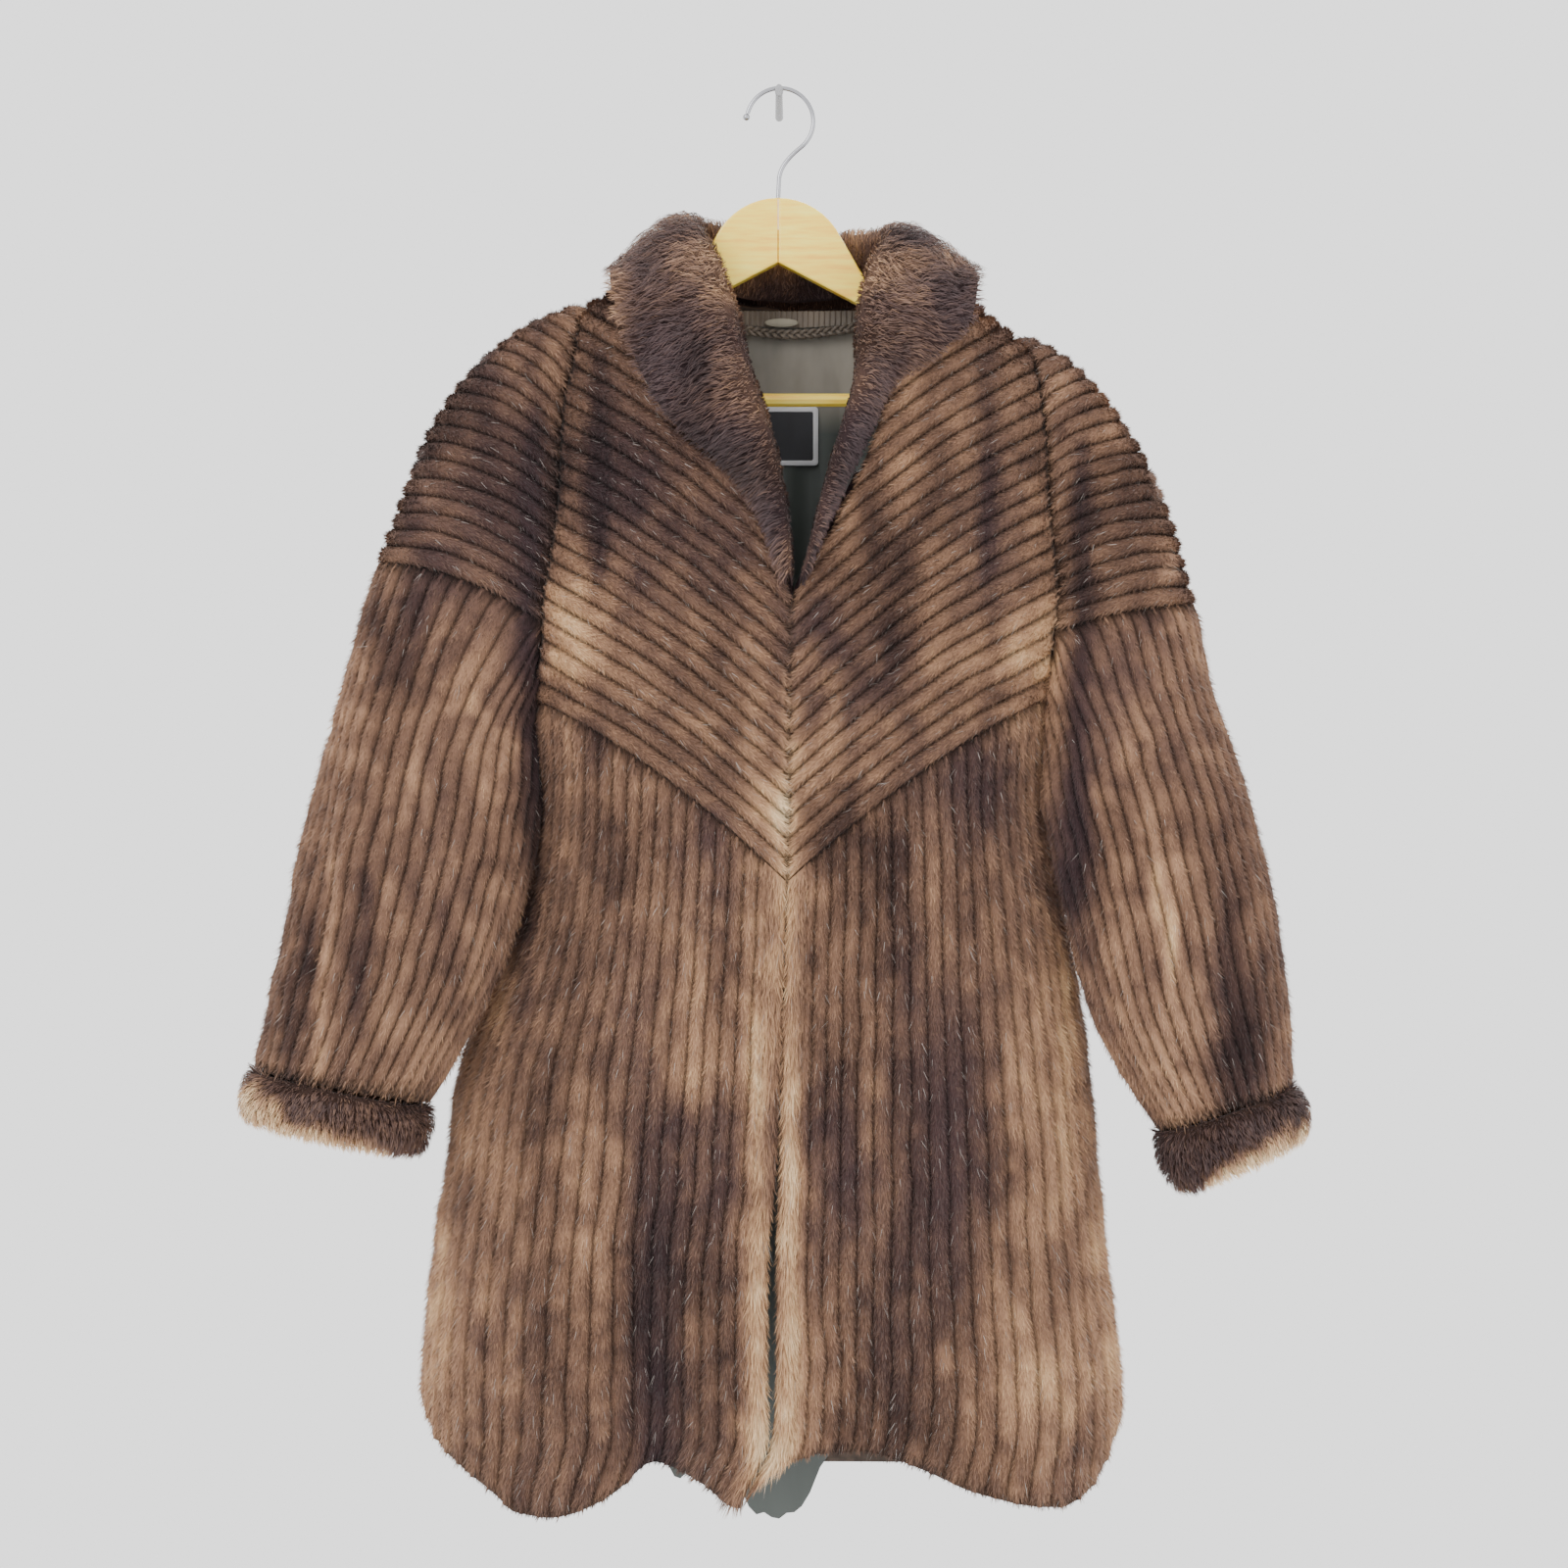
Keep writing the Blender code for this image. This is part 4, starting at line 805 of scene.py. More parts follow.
def pelt_colour(tone, mauve):
    """Fur colour of a tone, drawn to mauve grey where it is dark."""
    colour = np.stack([np.interp(tone, PELT_TONES, PELT_COLOURS[:, k]) for k in range(3)], -1)
    share = (mauve * smooth(0.7 - tone) * MAUVE_SHARE)[..., None]
    return (colour * (1 - share) + MAUVE * share) * tint_of("fur")


# Shader nodes ---------------------------------------------------------------------------------------------


class Number:
    """A number socket that takes part in expressions; each operator adds a Math node."""

    def __init__(self, recipe, socket):
        self.recipe = recipe
        self.socket = socket

    def math(self, operation, first, second=None):
        node = self.recipe.node("ShaderNodeMath", {"operation": operation})
        for socket, value in zip(node.inputs, (first, second)):
            self.recipe.feed(socket, value)
        return Number(self.recipe, node.outputs[0])

    def __add__(self, other):
        return self.math("ADD", self, other)

    __radd__ = __add__

    def __sub__(self, other):
        return self.math("SUBTRACT", self, other)

    def __rsub__(self, other):
        return self.math("SUBTRACT", other, self)

    def __mul__(self, other):
        return self.math("MULTIPLY", self, other)

    __rmul__ = __mul__

    def __pow__(self, other):
        return self.math("POWER", self, other)


class Recipe:
    """A new material and short ways to add its nodes."""

    def __init__(self, name, **shader):
        self.material = bpy.data.materials.new(name)
        self.material.use_nodes = True
        self.tree = self.material.node_tree
        self.shader = self.tree.nodes["Principled BSDF"]
        self.shade(**shader)

    def shade(self, **sockets):
        """Feeds the shader's own sockets, by their names."""
        for socket, value in sockets.items():
            self.feed(self.shader.inputs[socket.replace("_", " ").title().replace("Ior", "IOR")], value)

    def feed(self, socket, value):
        """Sets a socket to a number or colour, or links it."""
        if value is None:
            return
        if isinstance(value, Number):
            value = value.socket
        if isinstance(value, bpy.types.NodeSocket):
            self.tree.links.new(value, socket)
        elif hasattr(value, "__len__") and len(value) == 3 and socket.type == "RGBA":
            socket.default_value = (*value, 1)
        else:
            socket.default_value = value

    def node(self, kind, settings=None, **sockets):
        """Adds a node: its settings first, then what its sockets get."""
        node = self.tree.nodes.new(kind)
        for key, value in (settings or {}).items():
            setattr(node, key, value)
        for key, value in sockets.items():
            self.feed(node.inputs[key.replace("_", " ").title()], value)
        return node

    def number(self, node, output="Fac"):
        """A node's output as a number for expressions."""
        return Number(self, node.outputs[output])

    def places(self, scale=(1, 1, 1)):
        """Object coordinates, stretched."""
        coordinates = self.node("ShaderNodeTexCoord")
        return self.node("ShaderNodeMapping", Vector=coordinates.outputs["Object"], Scale=scale).outputs[0]

    def noise(self, scale, detail=2.0, stretch=(1, 1, 1)):
        """Noise as a number, from about 0.2 to 0.8."""
        made = self.node("ShaderNodeTexNoise", Vector=self.places(stretch), Scale=scale, Detail=detail)
        return self.number(made)

    def ramp(self, factor, stops):
        """Colour from a number through a ramp of (place, colour) stops."""
        made = self.node("ShaderNodeValToRGB")
        ramp = made.color_ramp
        while len(ramp.elements) < len(stops):
            ramp.elements.new(1.0)
        for element, (place, colour) in zip(ramp.elements, stops):
            element.position = place
            element.color = (*colour, 1)
        self.feed(made.inputs[0], factor)
        return made.outputs[0]

    def mixed(self, factor, first, second, blend="MIX"):
        """Two colours mixed."""
        made = self.node("ShaderNodeMix", {"data_type": "RGBA", "blend_type": blend})
        self.feed(made.inputs[0], factor)
        self.feed(made.inputs[6], first)
        self.feed(made.inputs[7], second)
        return made.outputs[2]

    def bump(self, height, strength, distance):
        """A bump that feeds the shader's normal."""
        made = self.node("ShaderNodeBump", Height=height, Strength=strength, Distance=distance)
        self.shade(normal=made.outputs[0])

    def attribute(self, name):
        """Colour of a mesh attribute."""
        return self.node("ShaderNodeAttribute", {"attribute_name": name}).outputs["Color"]


MATERIALS = {}


def grey(light):
    """A colour without hue."""
    return (light,) * 3


def finish_of(name):
    """The material of this name, made when it is first asked for."""
    if name not in MATERIALS:
        MATERIALS[name] = FINISHES[name]()
    return MATERIALS[name]


def under_fur():
    """Dense pile under the hairs: the pelt's colour, broken up by fine combed noise."""
    made = Recipe("under_fur", roughness=0.9, sheen_weight=0.04, specular_ior_level=0.15)
    grain = made.noise(900, 3, (1, 1, 0.35))
    pelt = made.attribute("pelt")
    shadow = made.ramp(grain, ((0.3, grey(0.45)), (0.75, grey(1))))
    made.shade(base_color=made.mixed(0.55, pelt, shadow, "MULTIPLY"))
    made.bump(grain, 0.8, 0.0012)
    return made.material


def hair():
    """Single hairs: each has its own colour, with a soft shine."""
    made = Recipe("fur_hair", sheen_weight=0.06, specular_ior_level=0.3)
    made.shade(base_color=made.attribute("pelt"))
    made.shade(roughness=0.42 + 0.25 * made.noise(140))
    return made.material


def leather():
    """Suede side of the pelts."""
    made = Recipe("pelt_leather", roughness=0.9)
    grain = made.noise(160, 5)
    made.shade(base_color=made.ramp(grain, ((0.3, linear(50, 40, 34)), (0.7, linear(78, 64, 54)))))
    made.bump(grain, 0.4, 0.0006)
    return made.material


def satin(name, dark, light, roughness, deep=None):
    """Satin: fine twill threads, soft uneven shine. deep is the painted shade that it darkens to lower down
    inside the coat.
    """
    made = Recipe(name, sheen_weight=0.2, sheen_roughness=0.35)
    diagonal = {"bands_direction": "DIAGONAL"}
    threads = made.number(
        made.node("ShaderNodeTexWave", diagonal, Vector=made.places(), Scale=620, Distortion=0.6)
    )
    soft = made.noise(26, 4, (1, 1, 0.4))
    tint = tint_of("satin")
    colour = made.ramp(soft + 0.12 * threads - 0.06, ((0.3, dark * tint), (0.72, light * tint)))
    if deep is not None:
        # painted shade: between z -0.22 and -0.25 the satin darkens to deep, the shade that it lies in inside
        # the coat
        height = made.number(made.node("ShaderNodeSeparateXYZ", Vector=made.places()), "Z")
        depth = made.ramp(height * -4, ((0.88, grey(0)), (1.0, grey(1))))
        colour = made.mixed(depth, colour, deep * tint)
    made.shade(base_color=colour, roughness=roughness + 0.2 * soft)
    made.bump(threads + 2.5 * soft, 0.25, 0.0004)
    return made.material


def wood():
    """Pale varnished beech: long grain with short darker flecks."""
    made = Recipe("beech", coat_weight=0.35, coat_roughness=0.12)
    rings = made.noise(34, 5, (0.5, 1, 7))
    flecks = made.noise(520, 2, (0.12, 1, 1))
    tint = tint_of("wood")
    stops = (
        (0.3, linear(248, 184, 52) * tint),
        (0.5, linear(255, 216, 72) * tint),
        (0.7, linear(255, 234, 104) * tint),
    )
    made.shade(base_color=made.ramp(rings * 0.7 + flecks * 0.3, stops))
    made.shade(roughness=0.3 + 0.2 * flecks)
    made.bump(flecks, 0.08, 0.0004)
    return made.material


def chrome():
    """Bright wire with a faint drawn grain."""
    made = Recipe("bright_wire", base_color=(0.36, 0.36, 0.38), metallic=1.0)
    grain = made.noise(700, 3)
    made.shade(roughness=0.12 + 0.16 * grain)
    made.bump(grain, 0.04, 0.0002)
    return made.material


def paint():
    """Grey paint of the peg."""
    made = Recipe("grey_paint")
    speck = made.noise(1200, 3)
    made.shade(base_color=made.ramp(speck, ((0.3, linear(128, 128, 130)), (0.7, linear(160, 160, 161)))))
    made.shade(roughness=0.35 + 0.2 * speck)
    made.bump(speck, 0.1, 0.0002)
    return made.material


def floor_finish():
    """Matt pale floor."""
    made = Recipe("pale_floor", roughness=0.9)
    made.shade(base_color=made.ramp(made.noise(3), ((0.3, grey(0.86)), (0.7, grey(0.9)))))
    return made.material


LINING_DARK = linear(104, 99, 90)
LINING_LIGHT = linear(158, 151, 139)
# painted shade of the lining low inside the coat
LINING_SHADED = linear(74, 80, 76)

FINISHES = {
    "under_fur": under_fur,
    "hair": hair,
    "leather": leather,
    "satin": lambda: satin("lining_satin", LINING_DARK, LINING_LIGHT, 0.36, LINING_SHADED),
    "strip": lambda: satin("strip_satin", linear(70, 62, 55), linear(122, 110, 98), 0.4),
    "tab": lambda: satin("tab_satin", linear(112, 106, 93), linear(156, 149, 133), 0.4),
    "label": lambda: satin("label_weave", linear(30, 30, 34), linear(56, 56, 62), 0.5),
    "border": lambda: satin("label_border", linear(196, 196, 200), linear(238, 238, 242), 0.3),
    "wood": wood,
    "chrome": chrome,
    "paint": paint,
    "floor": floor_finish,
}


# Meshes ---------------------------------------------------------------------------------------------------


def add_object(name, data):
    """A new object of the scene."""
    made = bpy.data.objects.new(name, data)
    bpy.context.scene.collection.objects.link(made)
    return made


def place_piece(name, mesh, replaces=()):
    """A new piece on the root body and the nodes that it stands for."""
    piece = add_object(name, mesh)
    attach(piece, "root")
    if replaces:
        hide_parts(*replaces)
    return piece


def add_piece(name, points, faces, finishes, replaces=(), smooth_by=None):
    """A new piece from points and faces, turned outward, with its finishes.

    smooth_by is the angle in degrees past which an edge stays sharp.
    """
    mesh = bpy.data.meshes.new(name)
    mesh.from_pydata(np.asarray(points, np.float32), [], faces)
    shape = bmesh.new()
    shape.from_mesh(mesh)
    bmesh.ops.recalc_face_normals(shape, faces=shape.faces)
    shape.to_mesh(mesh)
    shape.free()
    for finish in finishes:
        mesh.materials.append(finish_of(finish))
    mesh.shade_smooth()
    if smooth_by:
        mesh.set_sharp_from_angle(angle=math.radians(smooth_by))
    return place_piece(name, mesh, replaces)


def use_second_finish(piece, first, last):
    """Gives the faces from first to before last the second finish of the piece."""
    which = np.zeros(len(piece.data.polygons), np.int32)
    which[first:last] = 1
    piece.data.polygons.foreach_set("material_index", which)


def paint_points(mesh, colours):
    """Stores a colour for each point, as the attribute that the fur materials read."""
    layer = mesh.color_attributes.new(name="pelt", type="FLOAT_COLOR", domain="POINT")
    rgba = np.ones((len(mesh.vertices), 4), np.float32)
    rgba[:, :3] = colours
    layer.data.foreach_set("color", rgba.ravel())


def rim(outer, inner):
    """Faces between a fine and a coarse row of point numbers whose ends agree."""
    faces = []
    ratio = (len(outer) - 1) // (len(inner) - 1)
    for j in range(len(inner) - 1):
        first = j * ratio
        middle = first + (ratio + 1) // 2
        faces += [(outer[m], outer[m + 1], inner[j]) for m in range(first, middle)]
        faces.append((outer[middle], inner[j + 1], inner[j]))
        faces += [(outer[m], outer[m + 1], inner[j + 1]) for m in range(middle, first + ratio)]
    return faces


def grid_faces(index):
    """Quads of a grid of point numbers."""
    quads = np.stack([index[:-1, :-1], index[1:, :-1], index[1:, 1:], index[:-1, 1:]], -1)
    return quads.reshape(-1, 4).tolist()


def wall_faces(shape):
    """Faces of a closed wall between two equal grids of points, the second numbered after the first."""
    index = np.arange(shape[0] * shape[1]).reshape(shape[:2])
    faces = grid_faces(index) + grid_faces(index + index.size)
    border = [*index[:, 0], *index[-1, 1:], *index[-2::-1, -1], *index[0, -2:0:-1]]
    around = [int(i) for i in border]
    faces += [(a, b, b + index.size, a + index.size) for a, b in zip(around, around[1:] + around[:1])]
    return faces


def loft_faces(rings, sides, around=False):
    """Faces through rings of equal count: capped at both ends, or joined round to the start."""
    index = np.arange(rings * sides).reshape(rings, sides)
    index = np.concatenate([index, index[:, :1]], axis=1)
    if around:
        index = np.concatenate([index, index[:1]])
    faces = grid_faces(index)
    if not around:
        faces += [index[0, :-1].tolist(), index[-1, :-1].tolist()]
    return faces


def full_turn(count):
    """Equal angles round a full turn."""
    return np.linspace(0, 2 * math.pi, count, endpoint=False)


def wrap(values, closed):
    """A grid with its first line repeated at the end where the panel is a tube."""
    return np.concatenate([values, values[:1]]) if closed else values


def slopes(points, closed):
    """Steps of a grid across and along its lines."""
    if closed:
        across = (np.roll(points, -1, 0) - np.roll(points, 1, 0)) / 2
    else:
        across = np.gradient(points, axis=0)
    return across, np.gradient(points, axis=1)


def cell_areas(points):
    """Area of each cell of a grid."""
    a = points[1:, :-1] - points[:-1, :-1]
    b = points[:-1, 1:] - points[:-1, :-1]
    return np.linalg.norm(np.cross(a, b), axis=-1)


# Fur panels -----------------------------------------------------------------------------------------------

# Corded panels: cords, points along each, the seed of the left one's random numbers, and the setting that
# counts its hairs.
PANELS = {
    "front_yoke": (YOKE_CORDS, 38, 21, "yoke_hairs"),
    "front_skirt": (SKIRT_CORDS, 58, 23, "skirt_hairs"),
    "back_yoke": (BACK_YOKE_CORDS, 26, 31, "back_yoke_hairs"),
    "back_skirt": (BACK_SKIRT_CORDS, 40, 33, "back_hairs"),
    "sleeve_cap": (CAP_CORDS, 38, 35, "cap_hairs"),
    "sleeve_lower": (SLEEVE_CORDS, 46, 37, "sleeve_hairs"),
}
SKIRT_FAINT = 0.24       # how far the shade of the skirts' and of the sleeves' grooves is lifted
SLEEVE_FAINT = 0.14
CAP_DROOP = 0.3          # how much the caps' hair hangs down
COLLAR_SEED = 41
CUFF_SEED = 51
FACING_SEED = 61

# Soft creases in the front: centre, half width and half height, and depth, in mm.
CREASES = np.array([
    (-131, -310, 7, 90, 6.0),
    (-152, -400, 16, 90, -3.0),
    (152, -320, 8, 80, 5.0),
    (178, -400, 16, 80, -2.5),
    (-183, -520, 7, 120, 3.0),
    (324, -665, 8, 75, 7.0),
    (300, -640, 10, 90, -3.0),
    (-331, -560, 12, 110, 5.0),
    (-300, -500, 16, 60, -3.0),
    (-262, -600, 10, 80, 3.0),
    (-235, -420, 18, 20, -4.0),
    (-240, -455, 20, 9, 4.0),
    (258, -470, 10, 60, 4.0),
    (272, -440, 20, 12, 3.0),
    (-205, -330, 10, 60, 3.0),
    (236, -330, 10, 60, 3.0),
]) * MM


def crease(points, out):
    """How far the front is pressed in by its creases."""
    total = np.zeros(points.shape[:-1])
    for x, z, wide, high, depth in CREASES:
        near = ((points[..., 0] - x) / wide) ** 2 + ((points[..., 2] - z) / high) ** 2
        total += depth * np.exp(-near)
    return total * np.clip(0.2 - 1.2 * out[..., 1], 0, 1)


FILL = 0.0035            # extra pile between sleeve and body
FILL_TOP = -0.385        # heights between which it grows
FILL_END = -0.80
FILL_REACH = 0.29        # distance from the middle past which there is none


def side_fill(points, out):
    """Share of the extra pile where sleeve and body lie against each other."""
    height = smooth((FILL_TOP - points[..., 2]) / 0.03) * smooth((points[..., 2] - FILL_END) / 0.1)
    return smooth((np.abs(out[..., 0]) - 0.75) / 0.2) * height * (np.abs(points[..., 0]) < FILL_REACH)


LINES = 6                # of the fine grid for each cord
GROOVE = 0.0036          # height of the dense pile in a groove, and on a cord
RIDGE = 0.0076
ROUNDNESS = 2.9          # power of a cord's section: 2 is a parabola, more is fuller
LEAST_PRESS = 0.85       # share of the dense pile that is left where it is pressed most
END_LENGTH = 0.005       # over which a cord's end is rounded
LEAN_LENGTH = 0.004      # over which the pile leans out past a cord's end
WANDER = 0.0016          # how far the cords stray to either side
SEAM_COVER = 0.0008      # how far the pile leans over a panel's edges
EDGE_BAND = 1.45         # cords' width of the uncorded strips down the front edges
BAND_LENGTH = 1.9        # length of the hair there, by the hair on the cords
INNER_EVERY = 6          # lines of the fine grid for one of the leather's


def panel_grid(surface, cords, columns, closed=False, band=0.0, uphill=False, faint=0.0):
    """Fine grid of a corded panel: round cords with narrow grooves, uneven as combed pile is.

    band is the width in cords of the uncorded, fluffier strip along the first edge. The hair lies along the
    cords, and against their direction where uphill is set. faint is how far the grooves' shade is lifted.
    """
    lines = np.arange(cords * LINES + (0 if closed else 1)) / LINES
    spots = lines.copy()
    if not closed:
        spots[0] += SEAM / 2 / CORD_WIDTH
        spots[-1] -= SEAM / 2 / CORD_WIDTH
    cord, place = np.meshgrid(spots, np.linspace(0, 1, columns), indexing="ij")
    skin, out, press = surface(cord, place)
    press = np.maximum(press, LEAST_PRESS)
    from_crest = np.abs(2 * np.mod(lines, 1) - 1)[:, None]
    fluffy = (lines < band)[:, None]
    reach = np.linalg.norm(np.diff(skin, axis=1), axis=-1).sum(1)[:, None]
    ends = np.minimum(1, np.minimum(place, 1 - place) * reach / END_LENGTH)
    tip = np.sqrt(np.clip(1 - (1 - ends) ** 2, 0, 1))
    ridge = np.clip(1 - (from_crest / np.maximum(tip, 0.2)) ** ROUNDNESS, 0, 1)
    if band:
        ridge = np.where(fluffy, np.sin(math.pi * np.clip(lines[:, None] / band, 0, 1)) ** 0.4, ridge)
    lumps = 1 + 0.16 * cloud(skin, 0.009) + 0.14 * cloud(skin + 4, 0.028)
    pile = (GROOVE + (RIDGE - GROOVE) * ridge * (0.7 + 0.3 * tip)) * press * lumps
    pile = pile + FILL * side_fill(skin, out) - np.minimum(crease(skin, out), 0.9 * pile)
    across, flow = slopes(skin, closed)
    inside = np.minimum(place, 1 - place) * 6
    if not closed:
        inside = np.minimum(inside, np.minimum(cord, cords - cord) * 0.7)
    stray = WANDER * (cloud(skin, 0.03) + 0.5 * cloud(skin + 6, 0.012)) * smooth(inside)
    along_cord, sideways = unit(flow), unit(across)
    over = smooth(1 - (1 - place) * reach / LEAN_LENGTH) - smooth(1 - place * reach / LEAN_LENGTH)
    points = skin + out * pile[..., None] + sideways * stray[..., None]
    points = points + along_cord * over[..., None] * SEAM_COVER
    if not closed:
        beyond = smooth(1 - (cords - cord) * 2) - smooth(1 - cord * 2)
        points = points + sideways * beyond[..., None] * SEAM_COVER
    across, flow = slopes(points, closed)
    normal = unit(np.cross(across, flow))
    normal *= np.sign((normal * out).sum(-1, keepdims=True))
    tone, mauve = fur_tone_and_shade(skin, out, np.floor(np.mod(cord, cords)))
    fade = 0.4 * np.clip(cloud(skin + 6, (0.014, 0.014, 0.03)) + 0.1, 0, 1)
    return {
        "skin": skin,
        "out": out,
        "points": points,
        "normal": normal,
        "flow": unit(-flow if uphill else flow),
        "long": np.where(fluffy, BAND_LENGTH, 1.0) * np.ones(cord.shape),
        "ridge": ridge * np.ones(cord.shape),
        "lit": faint + (1 - faint) * smooth(ridge * 1.05 + fade),
        "press": press,
        "tone": tone,
        "mauve": mauve,
        "closed": closed,
    }


def panel_shell(name, grid):
    """Closed wall of one panel: the dense ribbed pile outside and the plain leather inside."""
    points, closed = grid["points"], grid["closed"]
    inner = (grid["skin"] - grid["out"] * SKIN)[::INNER_EVERY]
    out_index = np.arange(points[..., 0].size).reshape(points.shape[:2])
    in_index = np.arange(inner[..., 0].size).reshape(inner.shape[:2]) + out_index.size
    out_index, in_index = wrap(out_index, closed), wrap(in_index, closed)
    faces = grid_faces(out_index)
    furry = len(faces)
    faces += grid_faces(in_index)
    lined = len(faces)
    for end in (0, -1):
        faces += rim(out_index[:, end].tolist(), in_index[:, end].tolist())
        if not closed:
            faces += rim(out_index[end].tolist(), in_index[end].tolist())
    places = np.concatenate([points.reshape(-1, 3), inner.reshape(-1, 3)])
    shell = add_piece(name + "_pelt", places, faces, ["under_fur", "leather"], [name])
    use_second_finish(shell, furry, lined)
    # painted shade: the dense pile under the hairs is painted 0.15 of a tone darker than the hairs, and
    # darker in the grooves
    shade = (PELT_SHADE + (1 - PELT_SHADE) * grid["lit"])[..., None]
    colour = (pelt_colour(grid["tone"] - 0.15, grid["mauve"]) * shade).reshape(-1, 3)
    paint_points(shell.data, np.concatenate([colour, np.tile(LEATHER_POINTS, (inner[..., 0].size, 1))]))
    return shell


def scatter(grid, count, rng):
    """Random places on a grid, evenly by area, as a function that reads any of its values there."""
    area = cell_areas(wrap(grid["points"], grid["closed"]))
    cell = rng.choice(area.size, count, p=(area / area.sum()).ravel())
    cell.sort()
    i, j = np.divmod(cell, area.shape[1])
    s, t = rng.random((2, count))

    def read(key):
        values = wrap(grid[key], grid["closed"])
        wide = (slice(None),) + (None,) * (values.ndim - 2)
        a, b = s[wide], t[wide]
        return (
            (values[i, j] * (1 - b) + values[i, j + 1] * b) * (1 - a)
            + (values[i + 1, j] * (1 - b) + values[i + 1, j + 1] * b) * a
        )

    return read


def cloud_vectors(points, size, shifts):
    """Smooth noise in three directions."""
    return np.stack([cloud(points + shift, size) for shift in shifts], -1)


def tufts(root, size):
    """A function that gives each hair the mean of a value over its tuft, an uneven cell of this size."""
    cell = np.floor((root + 0.6 * size * cloud_vectors(root, 3 * size, (1, 2, 3))) / size)
    cell = cell.astype(np.int64) + 4096
    key = (cell[:, 0] << 26) + (cell[:, 1] << 13) + cell[:, 2]
    _, tuft = np.unique(key, return_inverse=True)
    many = np.bincount(tuft)

    def mean(values):
        return np.stack([np.bincount(tuft, values[:, k]) / many for k in range(3)], -1)[tuft]

    return mean


def hair_mesh(name, root, middle, tip, across, colours):
    """Joined tapered hairs. Each is one triangle, or three where it has a middle and bends there.

    across is half a hair's width at its root, as a vector, and colours are those of the roots and the tips.
    Each hair has a small cell of its own on the map.
    """
    count = len(root)
    low, high = colours
    if middle is None:
        rows = [root - across, root + across, tip]
        corners = np.array([[0, 1, 2]])
        spots = np.array([(0.15, 0.1), (0.75, 0.1), (0.45, 0.9)])
        shades = [low, low, high]
    else:
        rows = [root - across, root + across, middle + across * 0.75, middle - across * 0.75, tip]
        corners = np.array([[0, 1, 2], [0, 2, 3], [3, 2, 4]])
        spots = np.array([(0.15, 0.1), (0.75, 0.1), (0.7, 0.5), (0.2, 0.5), (0.45, 0.9)])
        shades = [low, low, (low + high) / 2, (low + high) / 2, high]
    each = len(rows)
    points = np.stack(rows, 1).reshape(-1, 3).astype(np.float32)
    index = (np.arange(count)[:, None, None] * each + corners).reshape(-1)
    mesh = bpy.data.meshes.new(name)
    mesh.vertices.add(len(points))
    mesh.vertices.foreach_set("co", points.ravel())
    mesh.loops.add(len(index))
    mesh.loops.foreach_set("vertex_index", index.astype(np.int32))
    mesh.polygons.add(len(index) // 3)
    mesh.polygons.foreach_set("loop_start", np.arange(0, len(index), 3, dtype=np.int32))
    mesh.update()
    side = math.ceil(math.sqrt(count))
    cell = np.arange(count)
    corner = np.stack([cell % side, cell // side], -1)[:, None, :]
    flat = (corner + spots[corners.ravel()][None]) / side
    layer = mesh.uv_layers.new(name="OFBake")
    layer.data.foreach_set("uv", flat.astype(np.float32).ravel())
    paint_points(mesh, np.stack(shades, 1).reshape(-1, 3))
    mesh.materials.append(finish_of("hair"))
    mesh.shade_smooth()
    return place_piece(name, mesh)


HAIR_WIDTH = 0.0007
HAIR_ROOT = 0.0006       # how deep a hair stands in the dense pile
HAIR_LIFT = 0.45         # how far a short hair stands up from the pile for 1 along the cord
HAIR_OUT = 0.25          # how far it stands out from the skin
HAIR_STRAY = 0.2         # spread of the short hairs' directions
HAIR_TONE = 0.16         # spread of their tones
HAIR_SHADE = 0.34        # their light in a groove, by their light on a cord
PELT_SHADE = 0.25        # the same for the dense pile under them
PALE_SHARE = 0.014       # of the hairs are long pale guard hairs
PALE_LENGTH = 1.7        # their length and width, by the other hairs'
PALE_WIDTH = 0.42
TUFT = 0.0035            # size of the tufts, and how far their tips draw together
GATHER = 0.45


def hair_roots(grid, count, seed):
    """Random numbers for a panel's hairs, what reads its grid, and the roots, normals and flow there."""
    rng = np.random.default_rng(seed)
    read = scatter(grid, int(count * (1.0)), rng)
    return rng, read, read("points"), unit(read("normal")), unit(read("flow"))


def pile_hair(name, grid, count, length, seed):
    """Short combed pile of one panel: hairs stand from the cords, lean along them and gather in tufts."""
    rng, read, root, normal, flow = hair_roots(grid, count, seed)
    count = len(root)
    stray = rng.normal(0, HAIR_STRAY, (count, 3))
    direction = unit(HAIR_LIFT * normal + HAIR_OUT * read("out") + flow + stray)
    pale = rng.random(count) < PALE_SHARE
    reach = length * read("long") * (0.55 + 0.45 * read("ridge")) * (0.4 + 0.6 * read("press"))
    reach = reach * rng.uniform(0.65, 1.25, count) * np.where(pale, PALE_LENGTH, 1.0)
    tip = root + direction * reach[:, None]
    gather = np.where(pale, 0, GATHER)[:, None]
    tip = tip * (1 - gather) + tufts(root, TUFT)(tip) * gather
    side = unit(np.cross(direction, normal + rng.normal(0, 0.35, (count, 3))))
    width = HAIR_WIDTH * rng.uniform(0.7, 1.3, count) * np.where(pale, PALE_WIDTH, 1.0)
    tone = read("tone") + rng.normal(0, HAIR_TONE, count)
    colour = pelt_colour(tone, read("mauve"))
    colour = np.where(pale[:, None], GUARD_HAIR * rng.uniform(0.4, 0.85, (count, 1)), colour)
    light = (HAIR_SHADE + (1 - HAIR_SHADE) * read("lit"))[:, None]
    colours = (colour * light * 0.7, colour * light * 1.15)
    across = side * width[:, None] / 2
    return hair_mesh(name + "_hair", root - normal * HAIR_ROOT, None, tip, across, colours)


